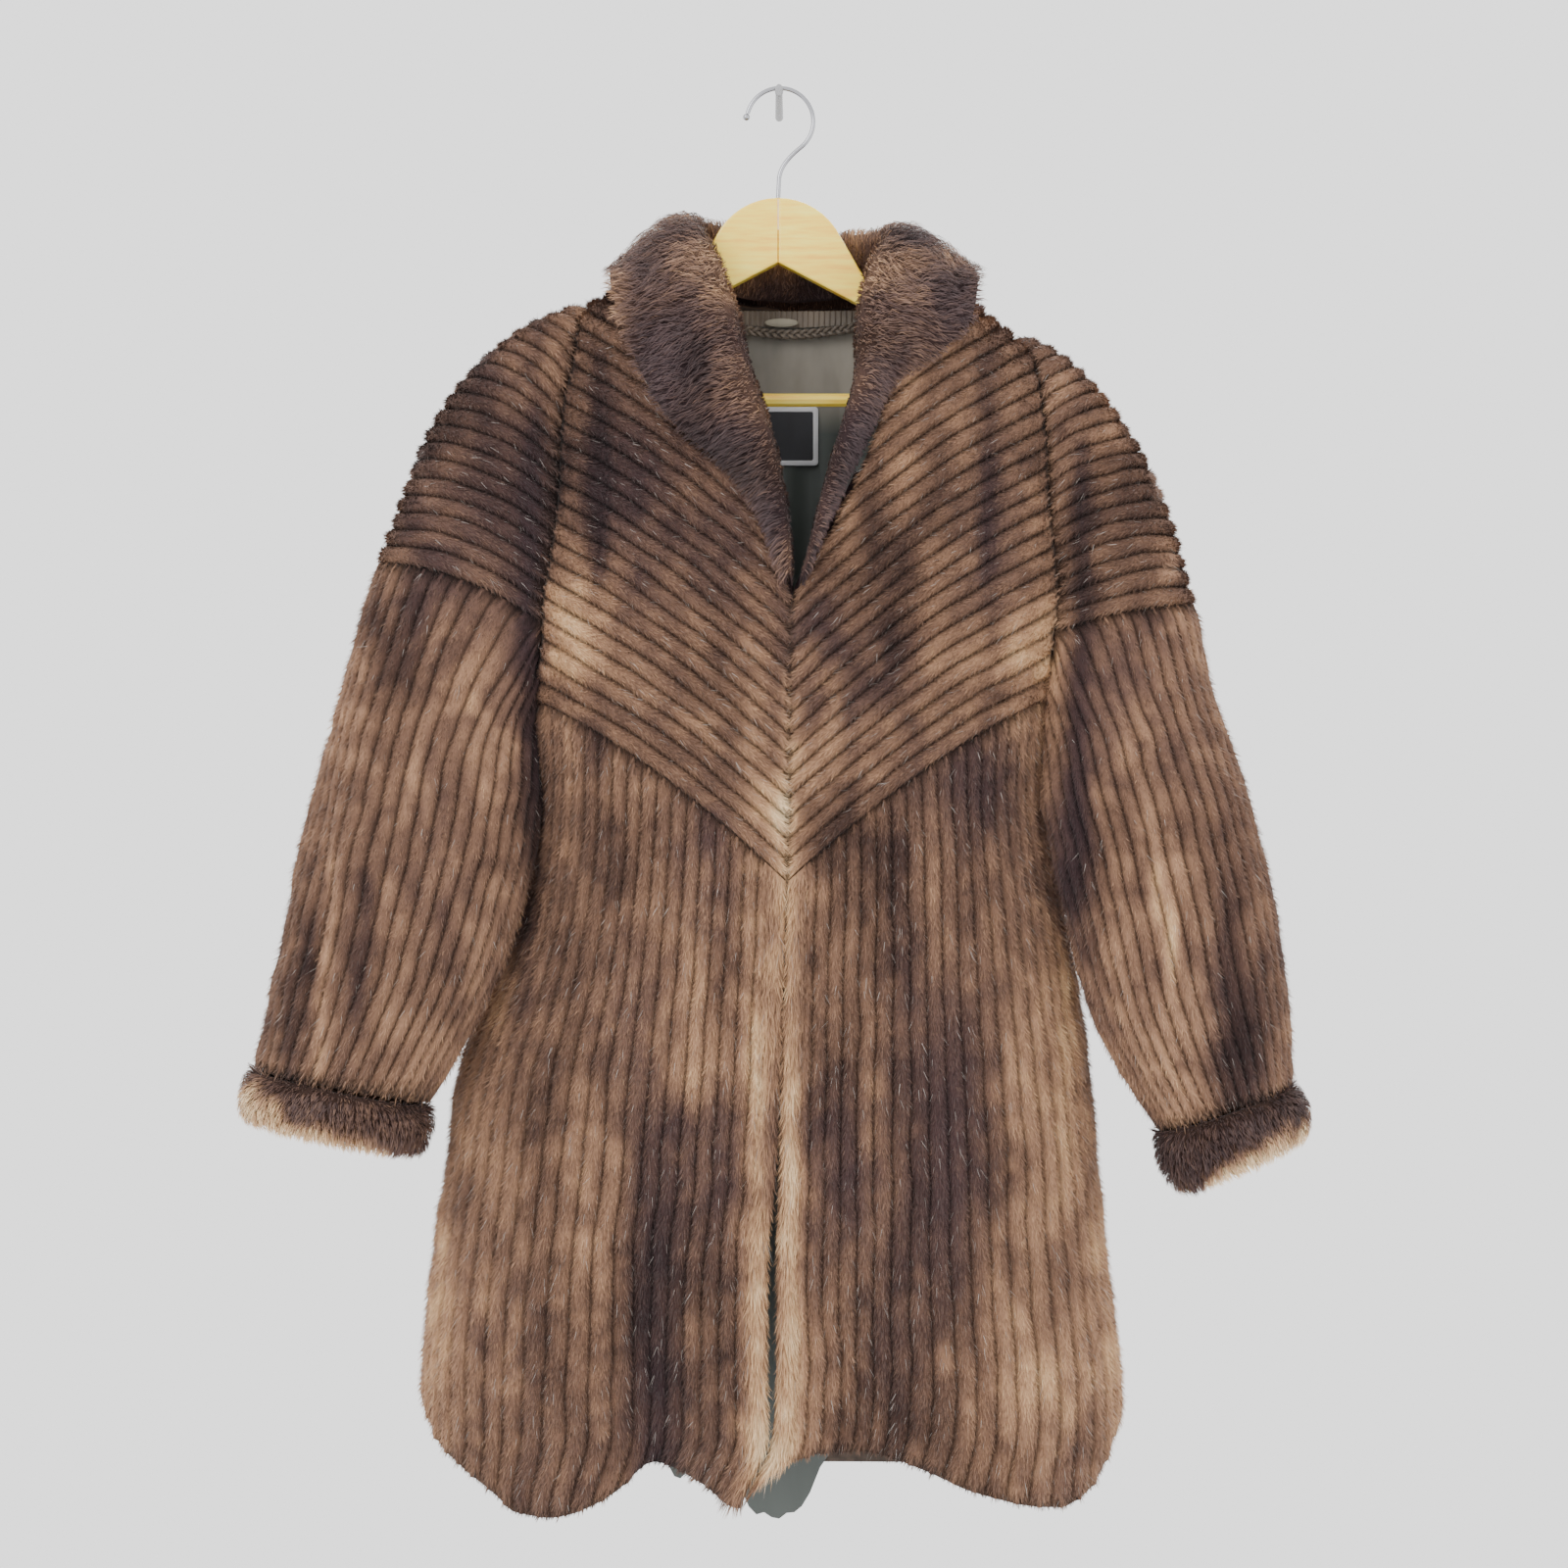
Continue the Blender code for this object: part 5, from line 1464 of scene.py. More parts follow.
def hang(skin, closed=False):
    """Works out a panel's cut width, length and area, measured along the skin; nothing is done with them."""
    skin = wrap(skin, closed)
    wide = np.linalg.norm(np.diff(skin, axis=0), axis=-1).sum(0).max()
    long = np.linalg.norm(np.diff(skin, axis=1), axis=-1).sum(1).max()
    area = min(cell_areas(skin).sum(), wide * long)


def make_panel(kind, side, surface, settings, droop=0.0, **way):
    """One corded fur panel: its shell, its hairs, and the size that it was cut to.

    droop turns the hair downhill and lets it hang by so much. way goes to panel_grid().
    """
    cords, columns, seed, hairs_setting = PANELS[kind]
    name = f"{kind}_{side}" if side else kind
    grid = panel_grid(surface, cords, columns, **way)
    if droop:
        downhill = np.where(grid["flow"][..., 2:] > 0, -grid["flow"], grid["flow"])
        grid["flow"] = unit(downhill + np.array([0, 0, -droop]))
    shell = panel_shell(name, grid)
    count = getattr(settings, hairs_setting)
    hairs = pile_hair(name, grid, count, settings.pile_length, seed + (side == "right"))
    hang(grid["skin"], grid["closed"])


# Long fur -------------------------------------------------------------------------------------------------

LONG_ROOT = 0.0008       # how deep a long hair stands in the dense pile
LONG_STRAY = 0.2         # spread of the long hairs' directions
LONG_TONE = 0.22         # spread of their tones
LONG_CLOUD = 0.016       # size of the swirls in the long fur
LONG_TUFT = 0.006        # size of its tufts, and how far the middles and the tips draw together
LONG_GATHER = (0.15, 0.4)


def long_hair(name, grid, count, length, seed, droop):
    """Long soft fur: each hair bends over towards the flow and gathers with its tuft.

    It is darker at the root than at the tip. droop is how much its tip hangs down.
    """
    rng, read, root, normal, flow = hair_roots(grid, count, seed)
    count = len(root)
    wander = cloud_vectors(root, LONG_CLOUD, (1, 5, 9))
    down = np.array([0, 0, -droop])
    start = unit(0.6 * normal + 0.8 * flow + 0.4 * wander + rng.normal(0, LONG_STRAY, (count, 3)))
    bent = unit(0.12 * normal + flow + 0.5 * wander + down + rng.normal(0, LONG_STRAY, (count, 3)))
    reach = (length * read("reach") * rng.uniform(0.6, 1.2, count))[:, None]
    middle = root + start * reach * 0.5
    tip = middle + bent * reach * 0.5
    mean = tufts(root, LONG_TUFT)
    middle, tip = (
        place * (1 - gather) + mean(place) * gather
        for place, gather in zip((middle, tip), LONG_GATHER)
    )
    side = unit(np.cross(bent, normal + rng.normal(0, 0.4, (count, 3))))
    width = HAIR_WIDTH * rng.uniform(0.8, 1.5, count)[:, None]
    tone = read("tone") + rng.normal(0, LONG_TONE, count)
    colour = pelt_colour(tone, np.clip(read("mauve"), 0, 1))
    colours = (colour * 0.62, colour * 1.1)
    root = root - normal * LONG_ROOT
    return hair_mesh(name + "_hair", root, middle, tip, side * width / 2, colours)


COLLAR_STATIONS = 121
COLLAR_ACROSS = 33
# How much of the collar's width is left at its lower ends, from which row on it widens, and over how many
# rows, on its left and right.
COLLAR_NARROW = {"left": (0.62, 1.6, 1.2), "right": (0.30, 3.0, 1.3)}
COLLAR_SHELL = 0.7       # thickness of the dense pile, by the collar's thickness
COLLAR_UNDER = (0.17, 0.6)    # hairs under the collar and their length, by those on top


def collar_grid(stations, columns):
    """Middle surface of the collar: along its path from one end in the V round the neck to the other end.

    Each section is a cubic curve from the inner seam through the crest to the outer edge.
    """
    rows = table(COLLAR, COLLAR_COLUMNS)
    last = len(COLLAR) - 1
    rows["s"] = np.arange(last + 1, dtype=float)
    walk = np.linspace(-last, last, stations)
    s, sign = last - np.abs(walk), np.where(walk < 0, -1.0, 1.0)
    at = {k: along(rows, s, "s", k) for k in COLLAR_COLUMNS}
    start, crest, end = (
        np.stack([at["middle"] + sign * at[part + "_x"], at[part + "_y"], at[part + "_z"]], -1)
        for part in ("in", "top", "out")
    )
    crest[:, 2] -= COLLAR_TILT * (crest[:, 0] - at["middle"])
    least, first, rows_wide = (
        np.where(sign > 0, right, left)
        for left, right in zip(COLLAR_NARROW["left"], COLLAR_NARROW["right"])
    )
    keep = least + (1 - least) * smooth((s - first) / rows_wide)
    end = start + (end - start) * keep[:, None]
    handle = (crest - (start + end) / 8) / 0.75
    spread = (end - start) * at["roll"][:, None]
    t = np.linspace(0, 1, columns)[None, :, None]
    near, far = 3 * t * (1 - t) ** 2, 3 * t * t * (1 - t)
    start, handle, spread, end = (part[:, None, :] for part in (start, handle, spread, end))
    middle = start * (1 - t) ** 3 + (handle - spread) * near + (handle + spread) * far + end * t**3
    path, over = slopes(middle, False)
    normal = unit(np.cross(path, over))
    lifted = middle[:, columns // 2] - (middle[:, 0] + middle[:, -1]) / 2
    normal *= np.sign((normal[:, columns // 2] * lifted).sum(-1))[:, None, None]
    half = at["thick"][:, None, None] / 2 * (0.45 + 0.55 * np.sin(math.pi * t) ** 0.5)
    return middle, normal, unit(over), half, np.broadcast_to(t[..., 0], middle.shape[:2]), walk / last


def make_collar_piece(settings):
    """Shell and long fur of the collar: dark at its lower ends, lighter and golden along the crest."""
    middle, normal, over, half, t, walk = collar_grid(COLLAR_STATIONS, COLLAR_ACROSS)
    lumps = 1 + 0.25 * cloud(middle, 0.02)[..., None]
    outer, inner = middle + normal * half * COLLAR_SHELL * lumps, middle - normal * half * COLLAR_SHELL
    places = np.concatenate([outer.reshape(-1, 3), inner.reshape(-1, 3)])
    shell = add_piece("collar_pelt", places, wall_faces(outer.shape), ["under_fur"], ["collar"])
    low = smooth((np.abs(walk)[:, None] - 0.42) / 0.3)
    right = (walk > 0)[:, None]
    crest = np.exp(-(((t - 0.42) / 0.2) ** 2))
    tone = -0.25 + 0.35 * crest + 0.9 * cloud(middle, (0.03, 0.03, 0.04))
    tone = tone + 0.3 * cloud(middle + 9, 0.012) - 0.75 * low + np.where(right, -0.12, 0.22)
    mauve = 0.75 + 0.6 * cloud(middle + 2, 0.03) - 0.4 * crest
    # painted shade: the dense pile under the long hair is painted at 0.6 of its colour, and the collar's
    # underside darker still
    colour = pelt_colour(tone - 0.3, mauve).reshape(-1, 3) * 0.6
    paint_points(shell.data, np.concatenate([colour, colour * 0.8]))
    over_crest = 0.4 + 0.7 * smooth((t - 0.3) / 0.35) - 0.45 * smooth((t - 0.8) / 0.2)
    reach = over_crest * (1 - (0.25 + 0.3 * right) * low)
    grid = {
        "points": outer, "normal": normal, "flow": over, "reach": reach,
        "tone": tone, "mauve": mauve, "closed": False,
    }
    hairs = long_hair("collar", grid, settings.collar_hairs, settings.collar_length, COLLAR_SEED, 0.35)
    fewer, shorter = COLLAR_UNDER
    under = dict(grid, points=inner, normal=-normal, reach=reach * shorter)
    count = settings.collar_hairs * fewer
    back = long_hair("collar_under", under, count, settings.collar_length, COLLAR_SEED + 1, 0.2)
    hang(middle)


# Cuff section: share of its length below the sleeve's end, and height above the sleeve's skin in mm.
CUFF_SKIN = ((0.02, 0), (0.02, 7), (0.2, 9.5), (0.5, 11), (0.8, 9), (0.98, 5), (0.97, 1), (0.75, -1.5))
CUFF_FURRY = slice(1, 7)      # the part of it that the hair stands on
# Where each cuff turns cream, from 0 at the sleeve to 1 at its edge, its dark tone, and what cream adds.
CUFF_TONES = {"left": (0.36, -0.3, 1.5), "right": (0.5, -0.75, 2.3)}


def cuff_ring(side, profile):
    """Points of the cuff: its profile carried round the sleeve's last ring."""
    rows = SLEEVES[side]
    outer = np.array([rows["outer_x"][-1], rows["outer_z"][-1]])
    inner = np.array([rows["inner_x"][-1], rows["inner_z"][-1]])
    centre, across = (outer + inner) / 2, (inner - outer) / 2
    half = np.linalg.norm(across)
    across = across / half
    down = np.array([across[1], -across[0]])
    down = down * -np.sign(down[1])
    angle = full_turn(CUFF_SIDES)[:, None]
    share, height = np.array(profile).T[:, None, :]
    height = height * MM
    far, near = CUFF_LENGTHS[side]
    length = share * (far + (near - far) * (0.5 + 0.5 * np.cos(angle)))
    ring_x = (half + height) * np.cos(angle)
    x = centre[0] + across[0] * ring_x + down[0] * length
    z = centre[1] + across[1] * ring_x + down[1] * length
    y = rows["y"][-1] - (rows["depth"][-1] + height) * np.sin(angle)
    return np.stack([x, y, z], -1)


def make_cuff_piece(side, settings):
    """Shell and long fur of one cuff, dark at the sleeve and cream at the edge."""
    ring = cuff_ring(side, CUFF_SKIN)
    faces = loft_faces(*ring.shape[:2], around=True)
    name = f"cuff_{side}"
    shell = add_piece(name + "_pelt", ring.reshape(-1, 3), faces, ["under_fur"], [name])
    fine = np.array(CUFF_SKIN)[CUFF_FURRY]
    walk = np.linspace(0, len(fine) - 1, CUFF_STATIONS)
    profile = np.stack([np.interp(walk, np.arange(len(fine)), fine[:, k]) for k in (0, 1)], -1)
    points = cuff_ring(side, profile)
    around, down = slopes(points, True)
    normal = unit(np.cross(around, down))
    middle = points.mean((0, 1))
    normal *= np.sign(((points - middle) * normal).sum(-1, keepdims=True).mean())
    share = np.broadcast_to(np.linspace(0, 1, CUFF_STATIONS)[None], points.shape[:2])
    outward = np.abs(points[..., 0])
    edge = 4.5 * (outward - outward.mean()) + 0.2 * cloud(points, 0.012)
    turn, dark, lighter = CUFF_TONES[side]
    cream = smooth((share - turn + edge) / 0.3)
    tone = dark + lighter * cream + 0.3 * cloud(points + 3, 0.008)
    shell_tone = np.interp(np.arange(len(CUFF_SKIN)), (0, 3, 5, 7), (-0.8, -0.6, 0.5, 0.6))
    # painted shade: the dense pile under the long hair is painted at 0.6 of its colour
    colours = pelt_colour(shell_tone, np.zeros(len(CUFF_SKIN))) * 0.6
    paint_points(shell.data, np.tile(colours, (CUFF_SIDES, 1)))
    parted = unit(down) * (smooth(share / 0.12) - 0.4)[..., None] + 0.2 * normal
    grid = {
        "points": points, "normal": normal, "flow": unit(parted), "reach": 0.8 + 0.3 * share,
        "tone": tone, "mauve": 0.5 * (1 - cream), "closed": True,
    }
    seed = CUFF_SEED + (side == "right")
    hairs = long_hair(name, grid, settings.cuff_hairs, settings.cuff_length, seed, 0.3)
    hang(points, True)


# Lining and trims -----------------------------------------------------------------------------------------

LINING_TOP = -0.1565     # upper edge of the lining at the back neck
LINING_LEVEL = -1.018    # its lower edge, apart from its torn tongues
LINING_WALL = 0.0006     # thickness that it is drawn with
LINING_SEAMS = (-0.034, 0.048)
NECK_LEFT = -0.044       # ends of the trims along the back neck, their middle and half length
NECK_RIGHT = 0.064
NECK_MIDDLE = 0.01
NECK_HALF = 0.054
NECK_LEVEL = -0.158      # height at which the depth of the strip and of the tab is taken
PLEATS = 26
PLEAT_COLUMNS = 6        # points along the strip for each pleat
PLEAT_DEPTH = 0.0012
PLEAT_LAP = 0.75         # share of a pleat that rises before it folds back
STRIP_TOP = -0.1582
STRIP_HEIGHT = 0.0085
STRIP_DROP = 0.004       # how much lower its lower edge hangs in the middle
STRIP_LIFT = 0.0011      # how far it stands off the lining
STRIP_BOW = 0.0035       # how far its ends come forward
BRAID_STATIONS = 181
BRAID_TURNS = 6
BRAID_LEVEL = -0.172     # height at which its depth is taken
BRAID_TOP = -0.1697      # height of its ends, and how much lower its middle hangs
BRAID_SAG = 0.0063
BRAID_LIFT = 0.0062
BRAID_BOW = 0.0045
BRAID_SWING = (0.0013, 0.0026)     # of a strand, in depth and in height
STRAND_RADIUS = 0.00145
STRAND_SIDES = 8
TAB_CENTRE = (0.0018, -0.1675)
TAB_HALF_WIDTH = 0.0128
TAB_HALF_HEIGHT = 0.0033
TAB_LIFT = 0.0058
TAB_PADDING = 0.0012
TAB_SIDES = 72
# The tab's rings: share of its size, and height of its padding.
TAB_RINGS = ((1, 0), (1, 0.5), (0.9, 0.85), (0.84, 0.65), (0.78, 0.9), (0.5, 1.15), (0.2, 1.25), (0.02, 1.25))
STITCHES = 36
STITCH_HEIGHT = 0.00007
LABEL_CENTRE = (0.0085, -0.252)
LABEL_HALF_WIDTH = 0.0212
LABEL_HALF_HEIGHT = 0.0224
LABEL_LIFT = 0.0018
LABEL_STEPS = 8          # points on each of its round corners
# The label's outlines in mm: how far each stands in, the radius of its corners, and how far it stands out.
LABEL_OUTLINES = ((0, 3, 0), (0, 3, 0.72), (0.4, 2.8, 1), (3.6, 1.6, 1), (3.9, 1.5, 0.72))
FACING_TOP = -0.29
FACING_END = -0.47
FACING_WIDTH = 0.022
FACING_LIP = 0.004       # how far it shows past the front edge
FACING_HAIRS = 9000
FACING_LENGTH = 0.0035


def wall_piece(name, front, back, finishes, replaces=()):
    """A closed wall between two equal grids."""
    points = np.concatenate([front.reshape(-1, 3), back.reshape(-1, 3)])
    return add_piece(name, points, wall_faces(front.shape), finishes, replaces, smooth_by=50)


def path_tube(path, radius, sides):
    """Rings round a path of points: each stands across the path, as large as its radius."""
    ahead = unit(np.gradient(path, axis=0))
    side = unit(np.cross(ahead, np.array([0.0, 1.0, 0.0])))
    up = np.cross(side, ahead)
    angle = full_turn(sides)[None, :, None]
    rings = side[:, None] * np.cos(angle) + up[:, None] * np.sin(angle)
    return path[:, None] + rings * np.broadcast_to(radius, len(path))[:, None, None]


def many_lofts(parts):
    """Points and faces of several lofts as one mesh."""
    points, faces, used = [], [], 0
    for rings in parts:
        faces += [tuple(i + used for i in face) for face in loft_faces(*rings.shape[:2])]
        points.append(rings.reshape(-1, 3))
        used += rings[..., 0].size
    return np.concatenate(points), faces


def lining_points(x, z, depth):
    """Points of the inside of the back, this far in from the skin."""
    depth = np.asarray(depth)[..., None]
    points = np.zeros(np.broadcast(x, z).shape + (3,))
    centre = along(EDGE, z, "z", "centre")
    for side, sign in SIDES.items():
        mine = ((x - centre) * sign >= 0)[..., None]
        psi = np.arcsin(np.clip((x - centre) * sign / half_width(z, side), 0, 1))
        place = body(psi, z, side, "back") - body_normal(psi, z, side, "back") * depth
        points = np.where(mine, place, points)
    return points


def lining_hem(share):
    """Height of the lining's torn lower edge, by the share of the way to either side."""
    x = np.where(share < 0, share * 0.245 - 0.01, share * 0.235 - 0.01)
    deep = 0.058 * np.exp(-(((x - 0.012) / 0.028) ** 4)) + 0.03 * np.exp(-(((x + 0.064) / 0.014) ** 2))
    torn = 0.0025 * np.abs(np.sin(x * 900)) + 0.002 * np.sin(x * 347)
    return LINING_LEVEL - deep + 0.06 * np.abs(share) ** 6 + torn


def make_lining_piece(with_pieces):
    """Satin back lining: upright folds that open out downward, and a torn lower edge."""
    across = np.linspace(-0.84, 0.84, 81)
    down = np.linspace(0, 1, 37) ** 1.2
    share, t = np.meshgrid(across, down, indexing="ij")
    z = LINING_TOP + (lining_hem(share) - LINING_TOP) * t
    side_x = np.where(share < 0, along(SECTION, z, "z", "left"), along(SECTION, z, "z", "right"))
    armhole = 1 - 0.16 * smooth((z + 0.46) / 0.04) * smooth((-0.165 - z) / 0.03)
    top = np.clip((z + 0.19) / 0.03, 0, 1)
    centre = along(EDGE, z, "z", "centre")
    x = centre + (side_x - centre) * np.abs(share) * armhole * (1 - 0.25 * top)
    grown = smooth((-0.17 - z) / 0.12)
    fold = 0.0016 * np.sin(x * 210 + 3 * t) + 0.0012 * np.sin(x * 97 + 1.5)
    seam = -0.0014 * sum(np.exp(-(((x - at) / 0.0022) ** 2)) for at in LINING_SEAMS)
    gap = SKIN + LINING_GAP + (fold + seam) * grown
    outer, inner = lining_points(x, z, gap), lining_points(x, z, gap + LINING_WALL)
    piece = wall_piece("back_lining", outer, inner, ["satin"], ["lining_back"])
    hang(outer)


def neck_depth(z):
    """Depth in y of the lining's face at the back neck."""
    return float(lining_points(np.array(NECK_MIDDLE), np.array(z), SKIN + LINING_GAP + LINING)[1])


def neck_bow(x):
    """How near x is to an end of the neck trims: 0 in their middle, 1 at either end."""
    return ((x - NECK_MIDDLE) / NECK_HALF) ** 2


def make_strip_piece():
    """Pleated strip along the back neck: narrow upright pleats that lie over each other."""
    x = np.linspace(NECK_LEFT, NECK_RIGHT, PLEAT_COLUMNS * PLEATS + 1)[:, None]
    t = np.linspace(0, 1, 7)[None, :]
    place = (x - NECK_LEFT) / (NECK_RIGHT - NECK_LEFT) * PLEATS
    fold = np.mod(place, 1)
    lift = 0.0004 + PLEAT_DEPTH * np.where(fold < PLEAT_LAP, fold / PLEAT_LAP, (1 - fold) / (1 - PLEAT_LAP))
    bow = neck_bow(x)
    y = neck_depth(NECK_LEVEL) - STRIP_LIFT - lift * (0.6 + 0.4 * np.sin(math.pi * t)) - STRIP_BOW * bow
    z = STRIP_TOP - STRIP_HEIGHT * t - STRIP_DROP * (1 - bow) * t + 0.0002 * np.sin(place * 9)
    back = np.stack([x + 0 * t, y, z], -1)
    front = back - np.array([0, LINING_WALL, 0])
    piece = wall_piece("neck_strip_pleats", front, back, ["strip"], ["neck_strip"])


def make_braid_piece():
    """Three satin cords braided: each swings from side to side and over the next, a third of a turn apart."""
    s = np.linspace(0, 1, BRAID_STATIONS)
    x = NECK_LEFT + (NECK_RIGHT - NECK_LEFT) * s
    middle = BRAID_TOP - BRAID_SAG * np.sin(math.pi * s)
    y = neck_depth(BRAID_LEVEL) - BRAID_LIFT - BRAID_BOW * (2 * s - 1) ** 2
    over, beside = BRAID_SWING
    strands = []
    for k in range(3):
        turn = 2 * math.pi * (BRAID_TURNS * s + k / 3)
        path = np.stack([x, y - over * np.sin(2 * turn), middle + beside * np.sin(turn)], -1)
        strands.append(path_tube(path, STRAND_RADIUS, STRAND_SIDES))
    points, faces = many_lofts(strands)
    return add_piece("neck_braid_strands", points, faces, ["strip"], ["neck_braid"])


def make_tab_piece():
    """Oval satin tab, softly padded, with a stitched rim."""
    angle = full_turn(TAB_SIDES)
    depth = neck_depth(NECK_LEVEL) - TAB_LIFT
    stitch = STITCH_HEIGHT * np.sin(STITCHES * angle)
    rings = []
    for size, height in TAB_RINGS:
        x = TAB_CENTRE[0] + TAB_HALF_WIDTH * size * np.cos(angle)
        z = TAB_CENTRE[1] + TAB_HALF_HEIGHT * size * np.sin(angle)
        rings.append(np.stack([x, depth - TAB_PADDING * height - stitch * (0.7 < size < 0.95), z], -1))
    faces = loft_faces(len(rings), TAB_SIDES)
    piece = add_piece("neck_tab", np.concatenate(rings), faces, ["tab"], ["hanging_tab"])


def rounded(wide, high, round_by):
    """Outline of a rectangle with round corners."""
    quarter = np.linspace(0, math.pi / 2, LABEL_STEPS)
    turns = np.concatenate([quarter + k * math.pi / 2 for k in range(4)])
    signs = np.repeat(np.array([(1, 1), (-1, 1), (-1, -1), (1, -1)]), LABEL_STEPS, axis=0)
    corner = np.array([wide - round_by, high - round_by]) * signs
    return corner + round_by * np.stack([np.cos(turns), np.sin(turns)], -1)


def make_label_piece():
    """Plain woven label: a dark field inside a raised silvery border, both slightly bowed."""
    y = min(neck_depth(-0.23), neck_depth(-0.275)) - LABEL_LIFT
    rings = []
    for inset, round_by, lift in np.array(LABEL_OUTLINES) * MM:
        x, z = rounded(LABEL_HALF_WIDTH - inset, LABEL_HALF_HEIGHT - inset, round_by).T
        bow = 0.0003 * np.cos(x * 70)
        rings.append(np.stack([LABEL_CENTRE[0] + x, y - lift - bow, LABEL_CENTRE[1] + z], -1))
    faces = loft_faces(len(rings), len(rings[0]))
    piece = add_piece("neck_label", np.concatenate(rings), faces, ["border", "label"], ["label"])
    use_second_finish(piece, len(faces) - 2, len(faces))
    piece.data.set_sharp_from_angle(angle=math.radians(40))


def facing_grid(side):
    """Skin grid of one front facing, in the way of a fur panel's grid."""
    sign = SIDES[side]
    z = np.linspace(FACING_TOP, FACING_END, 50)[None, :]
    edge = along(EDGE, z, "z", side)
    opening = along(EDGE, z, "z", "right") - along(EDGE, z, "z", "left")
    lip = np.minimum(FACING_LIP, opening / 2 - 0.0004)
    inset = np.linspace(0, 1, 16)[:, None]
    x = edge - sign * lip + sign * (FACING_WIDTH + lip) * inset
    psi = np.arcsin(np.clip((x - along(EDGE, z, "z", "centre")) * sign / half_width(z, side), -1, 1))
    skin = body(psi, z + 0 * x, side, "front")
    return skin, body_normal(np.abs(psi), z + 0 * x, side, "front"), inset


def make_facing_piece(side):
    """Dark fur strip behind one front edge."""
    skin, out, inset = facing_grid(side)
    near = skin - out * (SKIN + 0.0012)
    lumps = 0.0006 * cloud(skin, 0.006)[..., None]
    far = skin - out * (SKIN + 0.0048 + 0.001 * np.sin(math.pi * inset[..., None]) + lumps)
    node = f"front_facing_{side}"
    shell = wall_piece(f"facing_{side}_pelt", near, far, ["under_fur"], [node])
    tone = -1.15 + 0.3 * cloud(skin, 0.02) + 0.3 * cloud(skin, 0.006)
    mauve = np.full(tone.shape, 0.9)
    # painted shade: the dense pile under the hairs is painted at 0.6 of its colour
    paint_points(shell.data, np.tile(pelt_colour(tone, mauve).reshape(-1, 3) * 0.6, (2, 1)))
    across, down = slopes(far, False)
    ones = np.ones(tone.shape)
    grid = {
        "points": far, "normal": -out, "out": -out, "flow": unit(down - 0.4 * across),
        "tone": tone, "mauve": mauve, "closed": False,
        "ridge": ones, "lit": ones, "press": ones, "long": ones,
    }
    seed = FACING_SEED + (side == "right")
    hairs = pile_hair(f"facing_{side}", grid, FACING_HAIRS, FACING_LENGTH, seed)
    hang(far)


# Hook, peg and wood ---------------------------------------------------------------------------------------

WIRE_RADIUS = 0.00165
WIRE_SIDES = 20
HOOK_RADIUS = 0.0248
HOOK_X = 0.0007          # of its circle's centre
HOOK_TURN = (166, -50)   # degrees from its tip over the peg to where it bends back
HOOK_BEND = (0.0006, 0.0125)  # corner of that bend: its x, and how far it is below the circle's end
STEM_TOP = -0.066
STEM_END = (-0.0007, -0.0803)     # where the stem meets the wood
WIRE_GAP = 0.0002        # between the wire and the peg
BALL_RADIUS = 0.0026     # the ball on the hook's tip
BALL_GAP = 0.0004
BALL_SIDES = 28
PEG_SIDES = 40
PEG_Z = -0.0027          # height of the shaft's axis
# The peg's rings in mm, from the wall: depth, half width, half height, and how much higher than the shaft.
PEG_RINGS = (
    (77, 3.1, 3.1, 0),
    (0, 2.6, 2.6, 0),
    (-4, 2.4, 2.4, 0),
    (-4.4, 2.6, 4.2, 1.2),
    (-4.6, 2.9, 4.8, 1.2),
    (-5, 3.1, 5, 1.2),
    (-7, 3, 4.8, 1.2),
    (-7.8, 2.7, 4.5, 1.2),
    (-8.3, 2.1, 3.8, 1.2),
    (-8.4, 1.4, 3, 1.2),
)


def make_hook_pieces():
    """Hook wire with its ball, as tubes: a circle over the peg, a soft bend and a straight stem."""
    centre = np.array([HOOK_X, WIRE_RADIUS + WIRE_GAP - HOOK_RADIUS])
    angle = np.radians(np.linspace(*HOOK_TURN, 73))
    arc = centre + HOOK_RADIUS * np.stack([np.cos(angle), np.sin(angle)], -1)
    start, end = arc[-1], np.array([0.0, STEM_TOP])
    bend = np.array([HOOK_BEND[0], start[1] - HOOK_BEND[1]])
    t = np.linspace(0, 1, 16)[1:, None]
    turn = start * (1 - t) ** 2 + 2 * bend * t * (1 - t) + end * t * t
    flat = np.concatenate([arc, turn, [STEM_END]])
    path = np.stack([flat[:, 0], 0 * flat[:, 0], flat[:, 1]], -1)
    rings = path_tube(path, WIRE_RADIUS, WIRE_SIDES)
    away = unit(path[0] - path[3])
    turns = np.linspace(0.02, math.pi - 0.02, 21)
    axis = path[0] + away * (BALL_RADIUS + BALL_GAP) + np.outer(-np.cos(turns) * BALL_RADIUS, away)
    ball = path_tube(axis, np.sin(turns) * BALL_RADIUS, BALL_SIDES)
    for name, tube, node in (("hook_wire", rings, "hook"), ("hook_tip", ball, "hook_ball")):
        add_piece(name, tube.reshape(-1, 3), loft_faces(*tube.shape[:2]), ["chrome"], [node], 60)


def make_peg_piece():
    """Painted peg: a shaft from the wall and an upright head with a rounded rim."""
    angle = full_turn(PEG_SIDES)
    rings = [
        np.stack([wide * np.cos(angle), y + 0 * angle, PEG_Z + lift + high * np.sin(angle)], -1)
        for y, wide, high, lift in np.array(PEG_RINGS) * MM
    ]
    faces = loft_faces(len(rings), PEG_SIDES)
    add_piece("peg", np.concatenate(rings), faces, ["paint"], ["wall_peg"], 50)


def finish_wood():
    """Beech for the hanger's arms and bar."""
    for name in ("hanger_arm_left", "hanger_arm_right", "trouser_bar"):
        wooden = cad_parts[name]
        wooden.data.materials.clear()
        wooden.data.materials.append(finish_of("wood"))


# Stage ----------------------------------------------------------------------------------------------------

